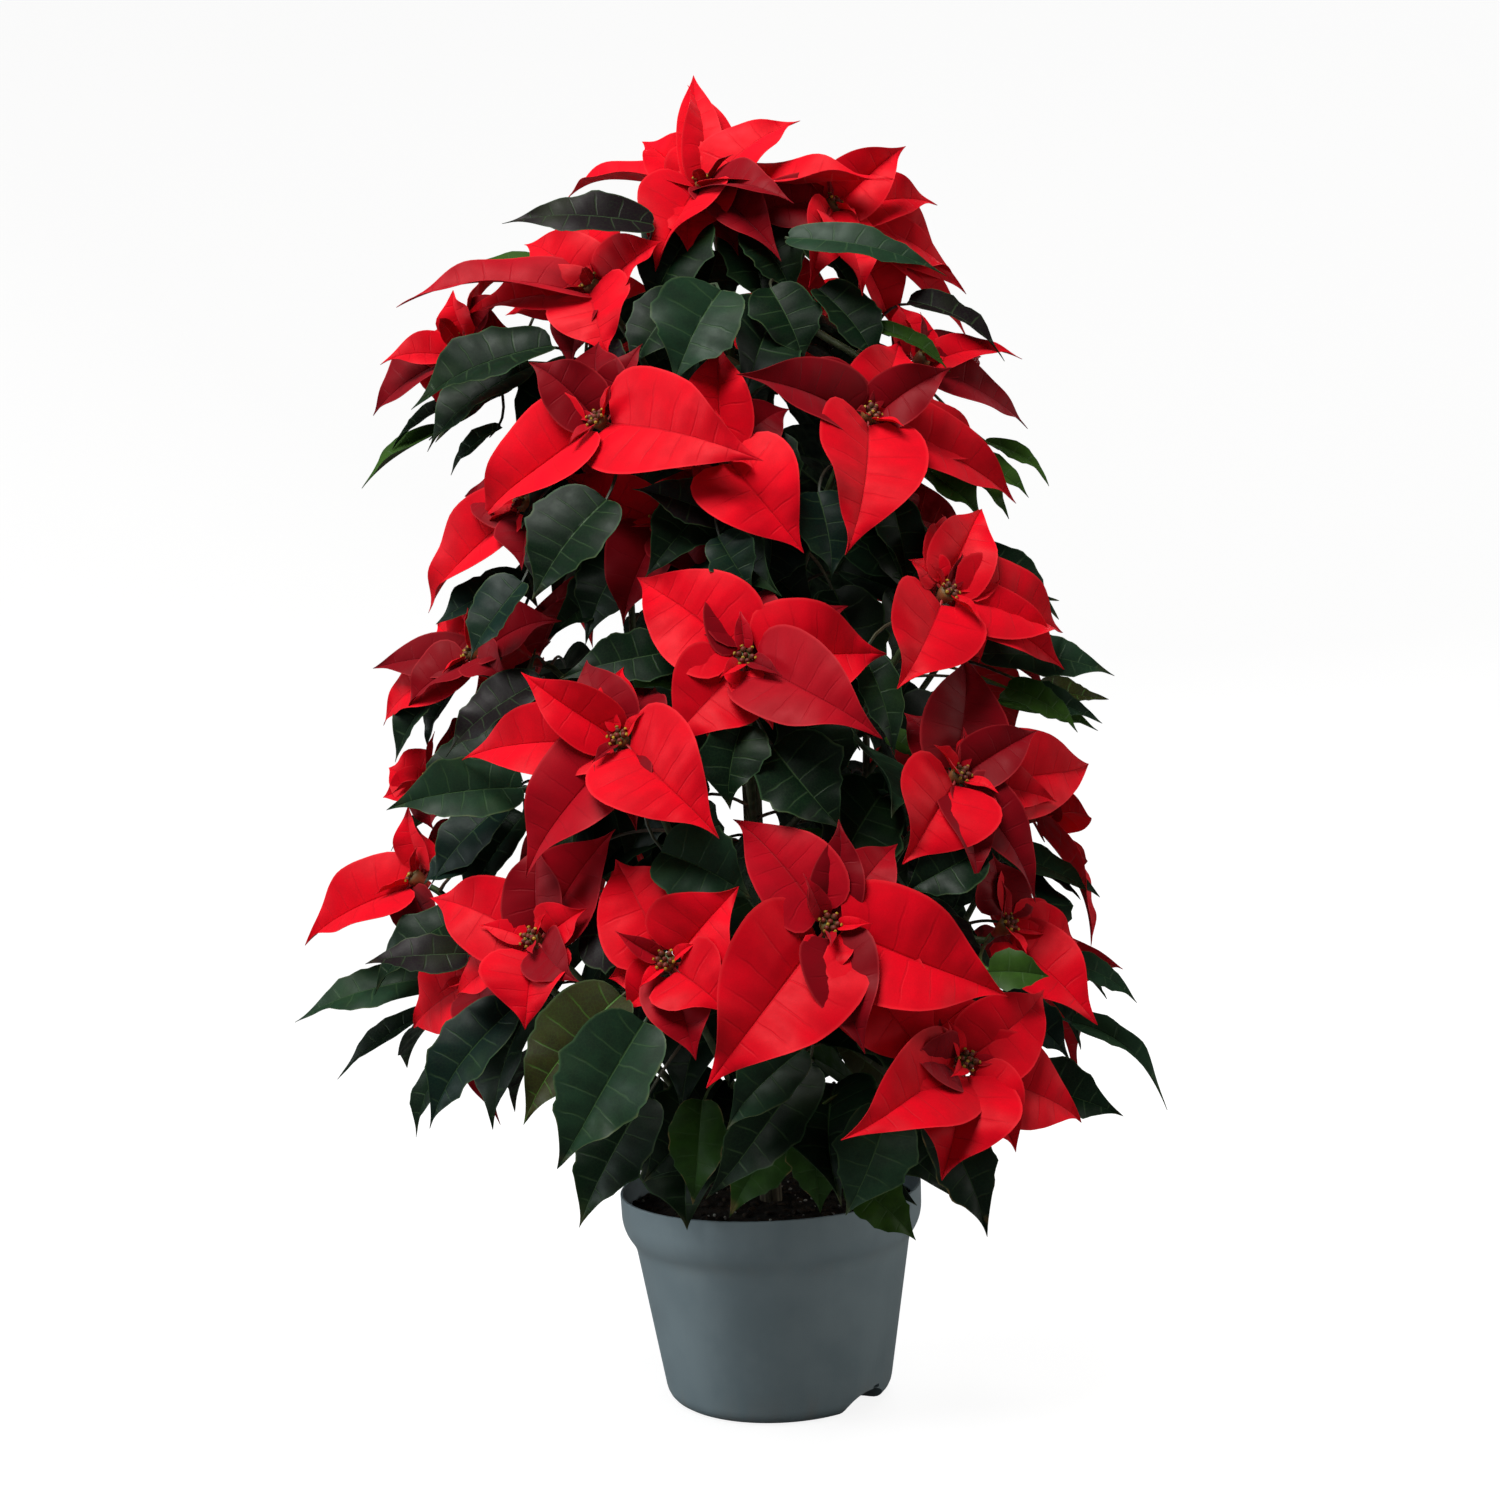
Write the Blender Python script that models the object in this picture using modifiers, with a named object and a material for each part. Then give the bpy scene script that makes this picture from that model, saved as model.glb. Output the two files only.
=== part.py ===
"""A potted poinsettia, trained as a pyramid about a metre high.

Metres, +Z up. The origin is the middle of the pot's flat underside, and the plant's front faces -Y.
Places on the plant are written in centimetres as across (+X), toward the viewer (-Y) and up (+Z).
The woody main stem stands in the soil. Side shoots leave it at successive heights, each with its
leaves, and end under their blooms. Leaves and bracts are thin closed blades. A blade that would
cross another shoot or bloom is bent clear of it.
"""
import math
import random

import bmesh
import bpy
from mathutils import Matrix, Vector
from mathutils.bvhtree import BVHTree

CM = 0.01
GAP = 0.0003              # between pieces that rest on each other
CLEAR = 0.0003            # kept round each blade, so two blades stay twice this apart

RIM_RADIUS = 0.115
RIM_HEIGHT = 0.156
LIP_HEIGHT = 0.036
LIP_STEP = 0.010
BODY_TOP_RADIUS = 0.1035
FOOT_RADIUS = 0.080
FOOT_ROUND = 0.007
POT_WALL = 0.0022
POT_SIDES = 30
SLOTS = 6                 # drain slots round the foot
SLOT_WIDTH = 0.016
SLOT_HEIGHT = 0.005
SLOT_DEPTH = 0.024
SLOT_MIDDLE = 0.00725     # height of a slot's middle above the floor
FIRST_SLOT = math.radians(-34)

SOIL_TOP = 0.140
SOIL_CROWN = 0.004

TRUNK_FOOT = 0.060        # height of the main stem's cut end, inside the soil
TRUNK_TOP = 0.780
TRUNK_RADIUS = 0.009
TRUNK_TIP_RADIUS = 0.006
SHOOT_RADIUS = 0.0028
SHOOT_LOWEST = 0.185      # where the lowest shoot leaves the main stem
SHOOT_SPACING = 0.012     # between two shoots' starts on the main stem
STEM_END = 0.009          # the straight stretch at each end of a shoot's stem
STEM_PULL = 0.04          # how far a stem's bow keeps to the way of its ends

CORE_BELOW = 0.012        # a bloom's core of buds, measured from the middle of the bloom
CORE_ABOVE = 0.009
CORE_FOOT_RADIUS = 0.004
CORE_RADIUS = 0.0075
CORE_TOP_RADIUS = 0.0045
CORE_SIDES = 6
BRACT_START = 0.010       # where a bract's stalk ends, from the middle of the bloom
BRACT_ARCH = 0.07         # rise of the middle above the chord, as a share of the length
BRACT_FOLD = math.radians(13)
LEAF_ARCH = 0.06
LEAF_FOLD = math.radians(9)
LEAF_BREADTH = 0.6        # a leaf's width as a share of its length, where it isn't set by hand
SKEW = 0.12               # how far a leaf's halves may differ, as a share of the half-width

BLADE_THICK = 0.0016      # at the midrib, thinning to the edges
STALK_THICK = 0.0028
STALK_HALF = 0.0014

# Sections of a blade: how far along it, half-width as a share of the blade's, and how far the edge
# lies back toward the base, which gives the heart-shaped foot. Broad blades get three, others two.
BROAD = 0.066
BRACT_BROAD = ((0.13, 0.72, 0.07), (0.40, 1.0, 0.02), (0.72, 0.50, 0.0))
BRACT_NARROW = ((0.30, 1.0, 0.08), (0.68, 0.58, 0.0))
LEAF_BROAD = ((0.12, 0.70, 0.07), (0.44, 1.0, 0.0), (0.76, 0.50, 0.0))
LEAF_NARROW = ((0.30, 1.0, 0.10), (0.66, 0.66, 0.0))

# The shoots of the front half. A shoot has one or more blooms: across, toward, up, how far the face
# tips up in degrees, and the bracts, each as clock hour seen from the front, length and width.
FRONT_SHOOTS = (
    ("top", (
        (-1.5, 3, 91.5, 65, ((7.0, 8, 7.5), (9.3, 12.5, 5.5), (3.1, 14, 6.5), (12.0, 9, 5), (0.6, 7, 7),
                             (10.5, 6.5, 6), (2.2, 7.5, 6), (4.7, 9, 5))),)),
    ("upper_left", (
        (-10, 6, 83.5, 45, ((5.7, 6, 7), (10.4, 7, 6), (2.1, 6, 6), (8.6, 13, 5.5), (11.9, 9.5, 6))),
        (-20.5, 2, 80.5, 35, ((7.9, 8.5, 6), (9.4, 4, 4.5), (6.6, 5.5, 6), (2.5, 4, 5))))),
    ("upper_right", (
        (8, 4.5, 89, 38, ((3.8, 10.5, 8.5), (1.7, 6.5, 5.5), (4.8, 11.5, 6.5), (6.6, 7, 4.5))),
        (14, 6, 77, 35, ((4.0, 9.5, 4.5), (2.4, 8, 4.5), (11.5, 5, 4.5))))),
    ("left_middle", (
        (-9.5, 12, 72.5, 30, ((7.7, 11.5, 8), (3.7, 12, 8.5), (0.0, 6, 6), (10.5, 6, 5))),
        (-15.5, 8, 67.5, 30, ((7.6, 11.5, 6.5), (9.5, 5, 5), (6.0, 5, 5))))),
    ("right_middle", (
        (9.5, 12, 72, 30, ((6.4, 10.5, 8.5), (3.9, 12.5, 6), (3.4, 11.5, 5.5), (0.8, 6.5, 6),
                           (10.4, 7.5, 4.5), (9.5, 9.5, 6))),
        (-1, 14, 69.5, 25, ((4.8, 9, 8), (1.8, 6, 5), (6.5, 4, 4))))),
    ("left_lower", (
        (-20, 6, 57, 35, ((8.0, 9, 6), (10.0, 5.5, 6), (2.4, 7, 5.5), (7.2, 6, 5))),
        (-24, 3, 48, 35, ((9.6, 4, 5), (8.4, 4, 4), (6.0, 4, 4))))),
    ("centre", (
        (0, 19, 55, 25, ((3.0, 9.5, 8), (10.3, 9.5, 8), (7.5, 7.5, 7), (4.2, 11, 7), (0.1, 7, 6),
                         (2.1, 8, 5), (6.3, 3, 3))),
        (-5.5, 10, 65.5, 25, ((6.8, 8, 6), (4.9, 6, 5))))),
    ("right", (
        (14, 15, 59, 30, ((3.6, 9.5, 7), (7.0, 7.5, 7.5), (1.0, 7.5, 7), (10.6, 3.5, 3.5), (4.4, 6, 5))),)),
    ("right_lower", (
        (14, 17, 46.5, 30, ((7.2, 7, 8), (0.3, 8.5, 7), (3.3, 12, 7), (5.0, 10, 4.5), (3.9, 7, 4),
                            (11.0, 6, 5))),
        (17, 15, 36, 30, ((3.6, 6, 5), (3.0, 5.5, 4), (5.0, 9, 6), (11.9, 5, 5))))),
    ("left_centre", (
        (-8.5, 20, 50, 30, ((4.5, 9, 8.5), (8.9, 11.5, 6), (9.5, 7.5, 5.5), (11.2, 6, 5), (0.7, 5.5, 5),
                            (7.3, 11, 7))),)),
    ("low_left", (
        (-15, 19, 37, 30, ((9.7, 8, 6), (6.2, 5.5, 7), (1.3, 9, 6.5), (0.4, 6, 5))),)),
    ("far_left_low", (
        (-25.5, 3, 40.5, 35, ((8.1, 10, 7), (11.7, 4, 4), (0.5, 4, 4), (5.5, 5, 5))),
        (-20, 12, 34, 30, ((7.8, 6.5, 6), (5.4, 4, 5), (10.0, 4, 5))))),
    ("low_centre_left", (
        (-6, 23, 35.5, 30, ((11.1, 7.5, 7), (1.8, 6.5, 7), (2.9, 5, 5), (4.3, 5, 6), (9.3, 3, 4),
                            (7.5, 4, 4))),)),
    ("low_centre", (
        (4.5, 24, 37.5, 28, ((3.8, 12.5, 8.5), (6.3, 3.5, 3.5), (7.4, 12, 9.5), (10.7, 9, 6.5),
                             (1.5, 7, 5), (4.7, 12.5, 7.5))),)),
    ("low_right", (
        (13, 22, 28, 28, ((6.6, 7, 8), (8.4, 10, 7), (4.0, 9.5, 6.5), (1.9, 7, 6), (10.7, 6, 6))),)),
)

# The leaves that show from the front: where the blade starts (across, toward, up), clock hour,
# length and width. Each grows from the nearest shoot that it can reach.
FRONT_LEAVES = (
    (-6, 8, 87.5, 9.1, 9.5, 3.5), (-14.5, -2, 87.5, 8.6, 6, 3), (-13, 7, 79, 8.2, 9.5, 5.5),
    (-11.5, 10, 79, 6.0, 4.5, 3.5), (-21.5, 0, 76.5, 7.7, 5, 2.5), (-22.5, 0, 74.5, 7.6, 6.5, 3),
    (-17.5, 3, 74, 7.5, 4.5, 2.5), (-0.5, 13, 81, 6.9, 7.5, 6.5), (-3, 9, 81.5, 7.1, 6.5, 4.5),
    (3, 9, 82, 5.4, 6, 5), (6.5, 8, 82, 5.1, 7, 4.5), (4.5, 9, 85.5, 3.6, 10.5, 3),
    (-2.5, 6, 88, 6.9, 7.5, 6), (2.5, 6, 88, 5.3, 8, 6.5), (10.5, 8, 79, 4.4, 5.5, 2),
    (19, 1, 71.5, 4.3, 5, 2.5),
    (15.5, 6, 69.5, 4.8, 5.5, 3.5), (-2.5, 14, 73.5, 3.9, 6, 3.5), (1.5, 13, 71, 5.1, 6, 4),
    (11.5, 13, 66, 6.0, 6.5, 4), (-1, 15, 65, 9.7, 6.5, 3.5), (-1.5, 16, 63.5, 5.0, 4.5, 3.5),
    (-9, 15, 66.5, 7.1, 8, 6.5), (-15.5, 11, 61.5, 7.0, 6, 4.5), (-14.5, 12, 65, 6.2, 4, 2.5),
    (-4, 15, 56, 8.9, 8.5, 4), (-14.5, 11, 54.5, 7.7, 7.5, 4), (-22, 3, 54.5, 6.6, 4.5, 2.5),
    (-16, 13, 47, 8.8, 8, 5), (-25.5, 3, 45.5, 7.7, 5, 1.5), (18.5, 5, 59, 3.1, 4, 3),
    (17, 9, 55, 3.4, 8, 4), (18.5, 10, 52.5, 4.1, 5, 3), (21.5, 5, 52.5, 3.9, 4.5, 2.5),
    (8.5, 18, 55, 5.7, 7, 3), (-0.5, 20, 50.5, 6.4, 5.5, 4.5),
    (1.5, 20, 49, 5.0, 7, 6), (9.5, 14, 49.5, 4.3, 3, 2), (22, 4, 40.5, 4.3, 8.5, 4.5),
    (15, 19, 41.5, 8.3, 7, 4), (-20.5, 10, 42, 8.0, 3, 3), (-19.5, 11, 35.5, 9.0, 6, 3),
    (-24, 3, 33, 8.5, 9.5, 4), (-25.5, 0, 30, 7.7, 7.5, 2.5), (-17, 15, 32, 7.1, 9, 5),
    (-23, 6, 28, 6.5, 6.5, 2.5), (-9.5, 24, 33.5, 7.3, 9.5, 5.5), (-7.5, 25, 32, 7.0, 10, 6.5),
    (-8, 18, 26, 6.9, 9, 5), (-6.5, 22, 42.5, 4.1, 7, 5.5), (-12.5, 20, 37, 2.8, 6, 5),
    (2.5, 23, 29.5, 7.7, 7, 4), (3, 20, 28, 7.4, 11, 4.5),
    (-4.5, 12, 24.5, 6.1, 7, 4), (1.5, 14, 23, 7.3, 7.5, 4), (3, 16, 23.5, 6.0, 6, 4),
    (8, 21, 25, 7.0, 7.5, 5), (5.5, 15, 19, 4.5, 5.5, 3.5), (11, 18, 24, 5.1, 8, 4.5),
    (16.5, 13, 25.5, 3.8, 7.5, 4.5), (22.5, 4, 32, 3.8, 5, 2.5), (23.5, 1, 27, 4.0, 7, 3),
    (15, 20, 33.5, 3.2, 3.5, 3),
)

# The far side's shoots: for each bloom the degrees round from the plant's right and the height in
# centimetres. Its distance out is the plant's outline there, given as (height, radius). Its bracts
# are long and sunk a little, or short and raised, in turn: BACK_LENGTHS gives (length, how far sunk).
OUTLINE = ((0, 24), (25, 24), (34, 25), (46, 21.5), (60, 18.5), (76, 15.5), (91, 6), (100, 2))
BACK_SHOOTS = (
    ((25, 30), (0, 43)), ((90, 29), (57, 42)), ((155, 30), (123, 43)), ((20, 57), (50, 69)),
    ((160, 57), (130, 69)), ((62, 82), (120, 80), (92, 58)),
)
BACK_BRACTS = 6
BACK_TILT = 32            # degrees
BACK_LENGTHS = ((0.115, 0.18), (0.085, -0.05))
BACK_BREADTH = 0.62       # a bract's width as a share of its length
HIDDEN_LENGTH = (0.065, 0.095)
HIDDEN_WIDTH = (0.045, 0.06)
SEED = 12

FACE_TO_FRONT = 0.8       # how far the front blooms' bracts turn their faces to the front
LEAN_TO_FRONT = 0.8       # how far a leaf's face may lean sideways from straight out
LEAF_TURN = math.radians(137.5)
MORE_LEAVES = 0.23       # the share of the free places on the stems that bear a leaf


def clear_scene():
    """Starts from an empty scene."""
    for thing in list(bpy.data.objects):
        bpy.data.objects.remove(thing, do_unlink=True)


def collection(name):
    """Adds a collection to the scene."""
    made = bpy.data.collections.new(name)
    bpy.context.scene.collection.children.link(made)
    return made


def principled(name, colour, roughness, metallic=0.0):
    """Makes a Principled material."""
    made = bpy.data.materials.new(name)
    made.use_nodes = True
    made.diffuse_color = (*colour, 1.0)
    shader = made.node_tree.nodes["Principled BSDF"]
    shader.inputs["Base Color"].default_value = (*colour, 1.0)
    shader.inputs["Roughness"].default_value = roughness
    shader.inputs["Metallic"].default_value = metallic
    return made


def place(across, toward, up):
    """A point on the plant, from centimetres."""
    return Vector((across * CM, -toward * CM, up * CM))


def mesh_object(name, verts, faces, home):
    """Makes an object from points and faces."""
    mesh = bpy.data.meshes.new(name)
    mesh.from_pydata([tuple(v) for v in verts], [], faces)
    made = bpy.data.objects.new(name, mesh)
    home.objects.link(made)
    return made


def shape_of(source, merge=0.00001):
    """What an object's modifiers give, as a bmesh with touching points merged."""
    bpy.context.view_layer.update()
    evaluated = source.evaluated_get(bpy.context.evaluated_depsgraph_get())
    mesh = bpy.data.meshes.new_from_object(evaluated)
    shape = bmesh.new()
    shape.from_mesh(mesh)
    bpy.data.meshes.remove(mesh)
    bmesh.ops.remove_doubles(shape, verts=shape.verts, dist=merge)
    return shape


def baked(source, name, home, shape=None):
    """Replaces an object by a plain mesh of what its modifiers give."""
    shape = shape or shape_of(source)
    mesh = bpy.data.meshes.new(name)
    shape.to_mesh(mesh)
    shape.free()
    made = bpy.data.objects.new(name, mesh)
    made.matrix_world = source.matrix_world
    home.objects.link(made)
    bpy.data.objects.remove(source, do_unlink=True)
    return made


def turned(name, profile, sides, home):
    """Turns a profile of (radius, height) round the Z axis."""
    made = mesh_object(name, [(r, 0.0, z) for r, z in profile], [], home)
    shape = bmesh.new()
    shape.from_mesh(made.data)
    shape.verts.ensure_lookup_table()
    for first, second in zip(shape.verts[:-1], shape.verts[1:]):
        shape.edges.new((first, second))
    shape.to_mesh(made.data)
    shape.free()
    screw = made.modifiers.new("turn", "SCREW")
    screw.steps = sides
    screw.render_steps = sides
    screw.use_merge_vertices = True
    screw.merge_threshold = 0.0001
    return made


def wall_radius(height):
    """The pot's outer radius under its lip."""
    share = (height - FOOT_ROUND) / (RIM_HEIGHT - LIP_HEIGHT - LIP_STEP - FOOT_ROUND)
    return FOOT_RADIUS + (BODY_TOP_RADIUS - FOOT_RADIUS) * share


def make_pot(home, cutters):
    """The nursery pot: a tapered shell with a deep lip, a rounded foot and drain slots."""
    lip_foot = RIM_HEIGHT - LIP_HEIGHT
    shoulder = lip_foot - LIP_STEP
    floor = 2 * POT_WALL
    profile = (
        (0.0, floor),
        (FOOT_RADIUS - 2.5 * POT_WALL, floor),
        (wall_radius(shoulder) - POT_WALL, shoulder),
        (RIM_RADIUS - 1.6 * POT_WALL, lip_foot),
        (RIM_RADIUS - POT_WALL, RIM_HEIGHT - 0.5 * POT_WALL),
        (RIM_RADIUS - 0.6 * POT_WALL, RIM_HEIGHT),
        (RIM_RADIUS, RIM_HEIGHT - 0.5 * POT_WALL),
        (RIM_RADIUS - 0.6 * POT_WALL, lip_foot),
        (RIM_RADIUS - 1.6 * POT_WALL, lip_foot - 0.3 * LIP_STEP),
        (wall_radius(shoulder), shoulder),
        (wall_radius(2 * FOOT_ROUND), 2 * FOOT_ROUND),
        (FOOT_RADIUS - 0.3 * FOOT_ROUND, 0.45 * FOOT_ROUND),
        (FOOT_RADIUS - FOOT_ROUND, 0.0),
        (0.0, 0.0),
    )
    pot = turned("pot", profile, POT_SIDES, home)
    for index in range(SLOTS):
        angle = FIRST_SLOT + index * math.tau / SLOTS
        bpy.ops.mesh.primitive_cube_add(size=1.0)
        slot = bpy.context.object
        slot.name = f"drain_slot_cutter_{index + 1}"
        slot.scale = (SLOT_DEPTH, SLOT_WIDTH, SLOT_HEIGHT)
        slot.location = (FOOT_RADIUS * math.cos(angle), FOOT_RADIUS * math.sin(angle), SLOT_MIDDLE)
        slot.rotation_euler.z = angle
        slot.hide_render = True
        slot.display_type = "WIRE"
        for owner in list(slot.users_collection):
            owner.objects.unlink(slot)
        cutters.objects.link(slot)
        cut = pot.modifiers.new(f"drain_slot_{index + 1}", "BOOLEAN")
        cut.operation = "DIFFERENCE"
        cut.solver = "EXACT"
        cut.object = slot
    return pot


def make_soil(home, cutters):
    """The potting soil: a body that fills the pot, crowned a little, with a hole for the main stem."""
    shoulder = RIM_HEIGHT - LIP_HEIGHT - LIP_STEP
    floor = 2 * POT_WALL + GAP
    inset = POT_WALL + 2 * GAP
    share = (SOIL_TOP - RIM_HEIGHT + LIP_HEIGHT) / LIP_HEIGHT
    top_radius = RIM_RADIUS - (1.6 - 0.6 * share) * POT_WALL - 3 * GAP
    profile = (
        (0.0, SOIL_TOP + SOIL_CROWN),
        (0.5 * top_radius, SOIL_TOP + SOIL_CROWN),
        (0.85 * top_radius, SOIL_TOP + 0.4 * SOIL_CROWN),
        (top_radius, SOIL_TOP),
        (RIM_RADIUS - 1.6 * POT_WALL - 3 * GAP, RIM_HEIGHT - LIP_HEIGHT),
        (wall_radius(shoulder) - inset, shoulder - GAP),
        (FOOT_RADIUS - 2.5 * POT_WALL - 3 * GAP, floor),
        (0.0, floor),
    )
    soil = turned("potting_soil", profile, POT_SIDES, home)
    depth = SOIL_TOP + 3 * SOIL_CROWN - TRUNK_FOOT
    bpy.ops.mesh.primitive_cylinder_add(vertices=16, radius=TRUNK_RADIUS + 2 * GAP, depth=depth)
    hole = bpy.context.object
    hole.name = "stem_hole_cutter"
    hole.location = (0.0, 0.0, TRUNK_FOOT - GAP + 0.5 * depth)
    hole.hide_render = True
    hole.display_type = "WIRE"
    for owner in list(hole.users_collection):
        owner.objects.unlink(hole)
    cutters.objects.link(hole)
    cut = soil.modifiers.new("stem_hole", "BOOLEAN")
    cut.operation = "DIFFERENCE"
    cut.solver = "EXACT"
    cut.object = hole
    return soil


def tube(name, points, radii, resolution, home):
    """A stem along points, as a mesh with closed ends."""
    curve = bpy.data.curves.new(name + "_path", "CURVE")
    curve.dimensions = "3D"
    curve.bevel_depth = 1.0
    curve.bevel_resolution = resolution
    curve.use_fill_caps = True
    spline = curve.splines.new("POLY")
    spline.points.add(len(points) - 1)
    for knot, point, radius in zip(spline.points, points, radii):
        knot.co = (*point, 1.0)
        knot.radius = radius
    path = bpy.data.objects.new(name + "_path", curve)
    home.objects.link(path)
    return baked(path, name, home)


def trunk_radius(height):
    """The main stem's radius at a height."""
    share = (height - TRUNK_FOOT) / (TRUNK_TOP - TRUNK_FOOT)
    return TRUNK_RADIUS + (TRUNK_TIP_RADIUS - TRUNK_RADIUS) * share


def make_trunk(home):
    """The woody main stem, straight and slowly tapered."""
    heights = [TRUNK_FOOT + (TRUNK_TOP - TRUNK_FOOT) * i / 6 for i in range(7)]
    points = [Vector((0.0, 0.0, z)) for z in heights]
    return tube("main_stem", points, [trunk_radius(z) for z in heights], 2, home)


class Blade:
    """One leaf or bract: its stalk starts at root, the blade runs from base to tip."""

    def __init__(self, root, base, tip, face, width, arch, fold, pointed, skew=0.0):
        self.root = root
        self.base = base
        self.tip = tip
        self.face = face
        self.width = width
        self.arch = arch
        self.fold = fold
        self.pointed = pointed
        self.skew = skew

    def sections(self):
        """The blade's sections, for a bract (whose root is a point) or a leaf."""
        if self.pointed:
            return BRACT_BROAD if self.width > BROAD else BRACT_NARROW
        return LEAF_BROAD if self.width > BROAD else LEAF_NARROW

    def rings(self, grow):
        """The four-sided sections (left, top, right, bottom) and the tip, grown by a margin."""
        run = self.tip - self.base
        length = run.length
        along = run.normalized()
        face = (self.face - along * self.face.dot(along)).normalized()
        side = along.cross(face)
        rings = [self.stalk(self.base, side, face, grow)]
        for share, breadth, back in self.sections():
            bulge = face * (self.arch * length * 4 * share * (1 - share))
            middle = self.base + along * (length * share) + bulge
            reach = 0.5 * self.width * breadth + grow
            rise = face * (reach * math.sin(self.fold)) - along * (length * back)
            flat = side * (reach * math.cos(self.fold))
            deep = 0.5 * BLADE_THICK + grow
            twist = self.skew if share > 0.5 else -self.skew
            rings.append((middle - flat * (1 + twist) + rise, middle + face * deep,
                          middle + flat * (1 - twist) + rise, middle - face * deep))
        return rings, self.tip + along * grow

    def stalk(self, middle, side, face, grow):
        """A three-sided section of the stalk (left, right, bottom)."""
        half = side * (STALK_HALF + grow)
        deep = face * (0.5 * STALK_THICK + grow)
        return (middle - half + deep * 0.5, middle + half + deep * 0.5, middle - deep)

    def shell(self, grow=0.0, with_stalk=True):
        """Points and triangles, split alike on the upper and lower face."""
        rings, tip = self.rings(grow)
        verts = [point for ring in rings for point in ring] + [tip]
        faces = [(0, 1, 4), (0, 4, 3), (1, 5, 4), (1, 2, 6), (1, 6, 5), (2, 0, 3), (2, 3, 6)]
        for index in range(1, len(rings) - 1):
            low = 4 * index - 1
            high = low + 4
            for edge, spine in ((0, 1), (2, 1), (0, 3), (2, 3)):
                one = (low + edge, low + spine, high + spine)
                two = (low + edge, high + spine, high + edge)
                if (edge, spine) in ((2, 1), (0, 3)):
                    one = one[::-1]
                    two = two[::-1]
                faces += [one, two]
        end = len(verts) - 1
        for step in range(4):
            faces.append((end - 4 + step, end - 4 + (step + 1) % 4, end))
        if not with_stalk:
            faces.append((0, 2, 1))
        elif self.pointed:
            verts.append(self.root)
            faces += [(1, 0, end + 1), (2, 1, end + 1), (0, 2, end + 1)]
        else:
            along = (self.base - self.root).normalized()
            face = (self.face - along * self.face.dot(along)).normalized()
            verts += self.stalk(self.root, along.cross(face), face, grow)
            low = end + 1
            for one, two in ((0, 1), (1, 2), (2, 0)):
                faces += [(low + one, low + two, two), (low + one, two, one)]
            faces.append((low, low + 2, low + 1))
        return verts, faces


class Space:
    """What is already placed, so that the next blade can be bent clear of it."""

    def __init__(self):
        self.things = []

    def crosses(self, verts, faces, wanted):
        """True if the shape crosses a placed thing that is wanted."""
        low = [min(v[i] for v in verts) for i in range(3)]
        high = [max(v[i] for v in verts) for i in range(3)]
        tree = None
        for thing in self.things:
            owner, kind, other_low, other_high, other_tree = thing
            if not wanted(owner, kind):
                continue
            if any(low[i] > other_high[i] or high[i] < other_low[i] for i in range(3)):
                continue
            if tree is None:
                tree = BVHTree.FromPolygons(verts, faces)
            if tree.overlap(other_tree):
                return True
        return False

    def free(self, name, verts, faces):
        """True if the shape crosses nothing of another owner."""
        return not self.crosses(verts, faces, lambda owner, kind: owner != name and kind != "blade")

    def add(self, owner, kind, verts, faces):
        """Takes up the shape's room."""
        low = [min(v[i] for v in verts) for i in range(3)]
        high = [max(v[i] for v in verts) for i in range(3)]
        self.things.append((owner, kind, low, high, BVHTree.FromPolygons(verts, faces)))

    def take(self, name, blade, crowded=False):
        """Places a blade if it is clear of the other shoots and blooms, and of its own one's blades.

        In a crowded bloom it may cross its own one's blades, which it is fused to in the end.
        """
        verts, faces = blade.shell(CLEAR)
        if not self.free(name, verts, faces):
            return False
        own_verts, own_faces = blade.shell(0.0, False)
        if not crowded and self.crosses(own_verts, own_faces,
                                        lambda owner, kind: owner == name and kind != "whole"):
            return False
        if not blade.pointed and self.crosses(verts, faces,
                                              lambda owner, kind: owner == name and kind == "whole"):
            return False
        self.add(name, "whole", verts, faces)
        self.add(name, "blade", own_verts, own_faces)
        return True


def prism(points, radii, sides=6):
    """A plain tube's points and triangles, to test for room."""
    verts = []
    for index, (point, radius) in enumerate(zip(points, radii)):
        ahead = points[min(index + 1, len(points) - 1)] - points[max(index - 1, 0)]
        turn = ahead.to_track_quat("Z", "Y")
        for step in range(sides):
            angle = math.tau * step / sides
            verts.append(point + turn @ Vector((radius * math.cos(angle), radius * math.sin(angle), 0.0)))
    faces = []
    for ring in range(len(points) - 1):
        for step in range(sides):
            one = ring * sides + step
            two = ring * sides + (step + 1) % sides
            faces += [(one, two, two + sides), (one, two + sides, one + sides)]
    end = (len(points) - 1) * sides
    for step in range(1, sides - 1):
        faces += [(0, step + 1, step), (end, end + step, end + step + 1)]
    return verts, faces


def outline_radius(height):
    """The radius of the plant's outline at a height, both in centimetres."""
    for (low, low_radius), (high, high_radius) in zip(OUTLINE, OUTLINE[1:]):
        if height <= high:
            return low_radius + (high_radius - low_radius) * (height - low) / (high - low)
    return OUTLINE[-1][1]


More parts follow.
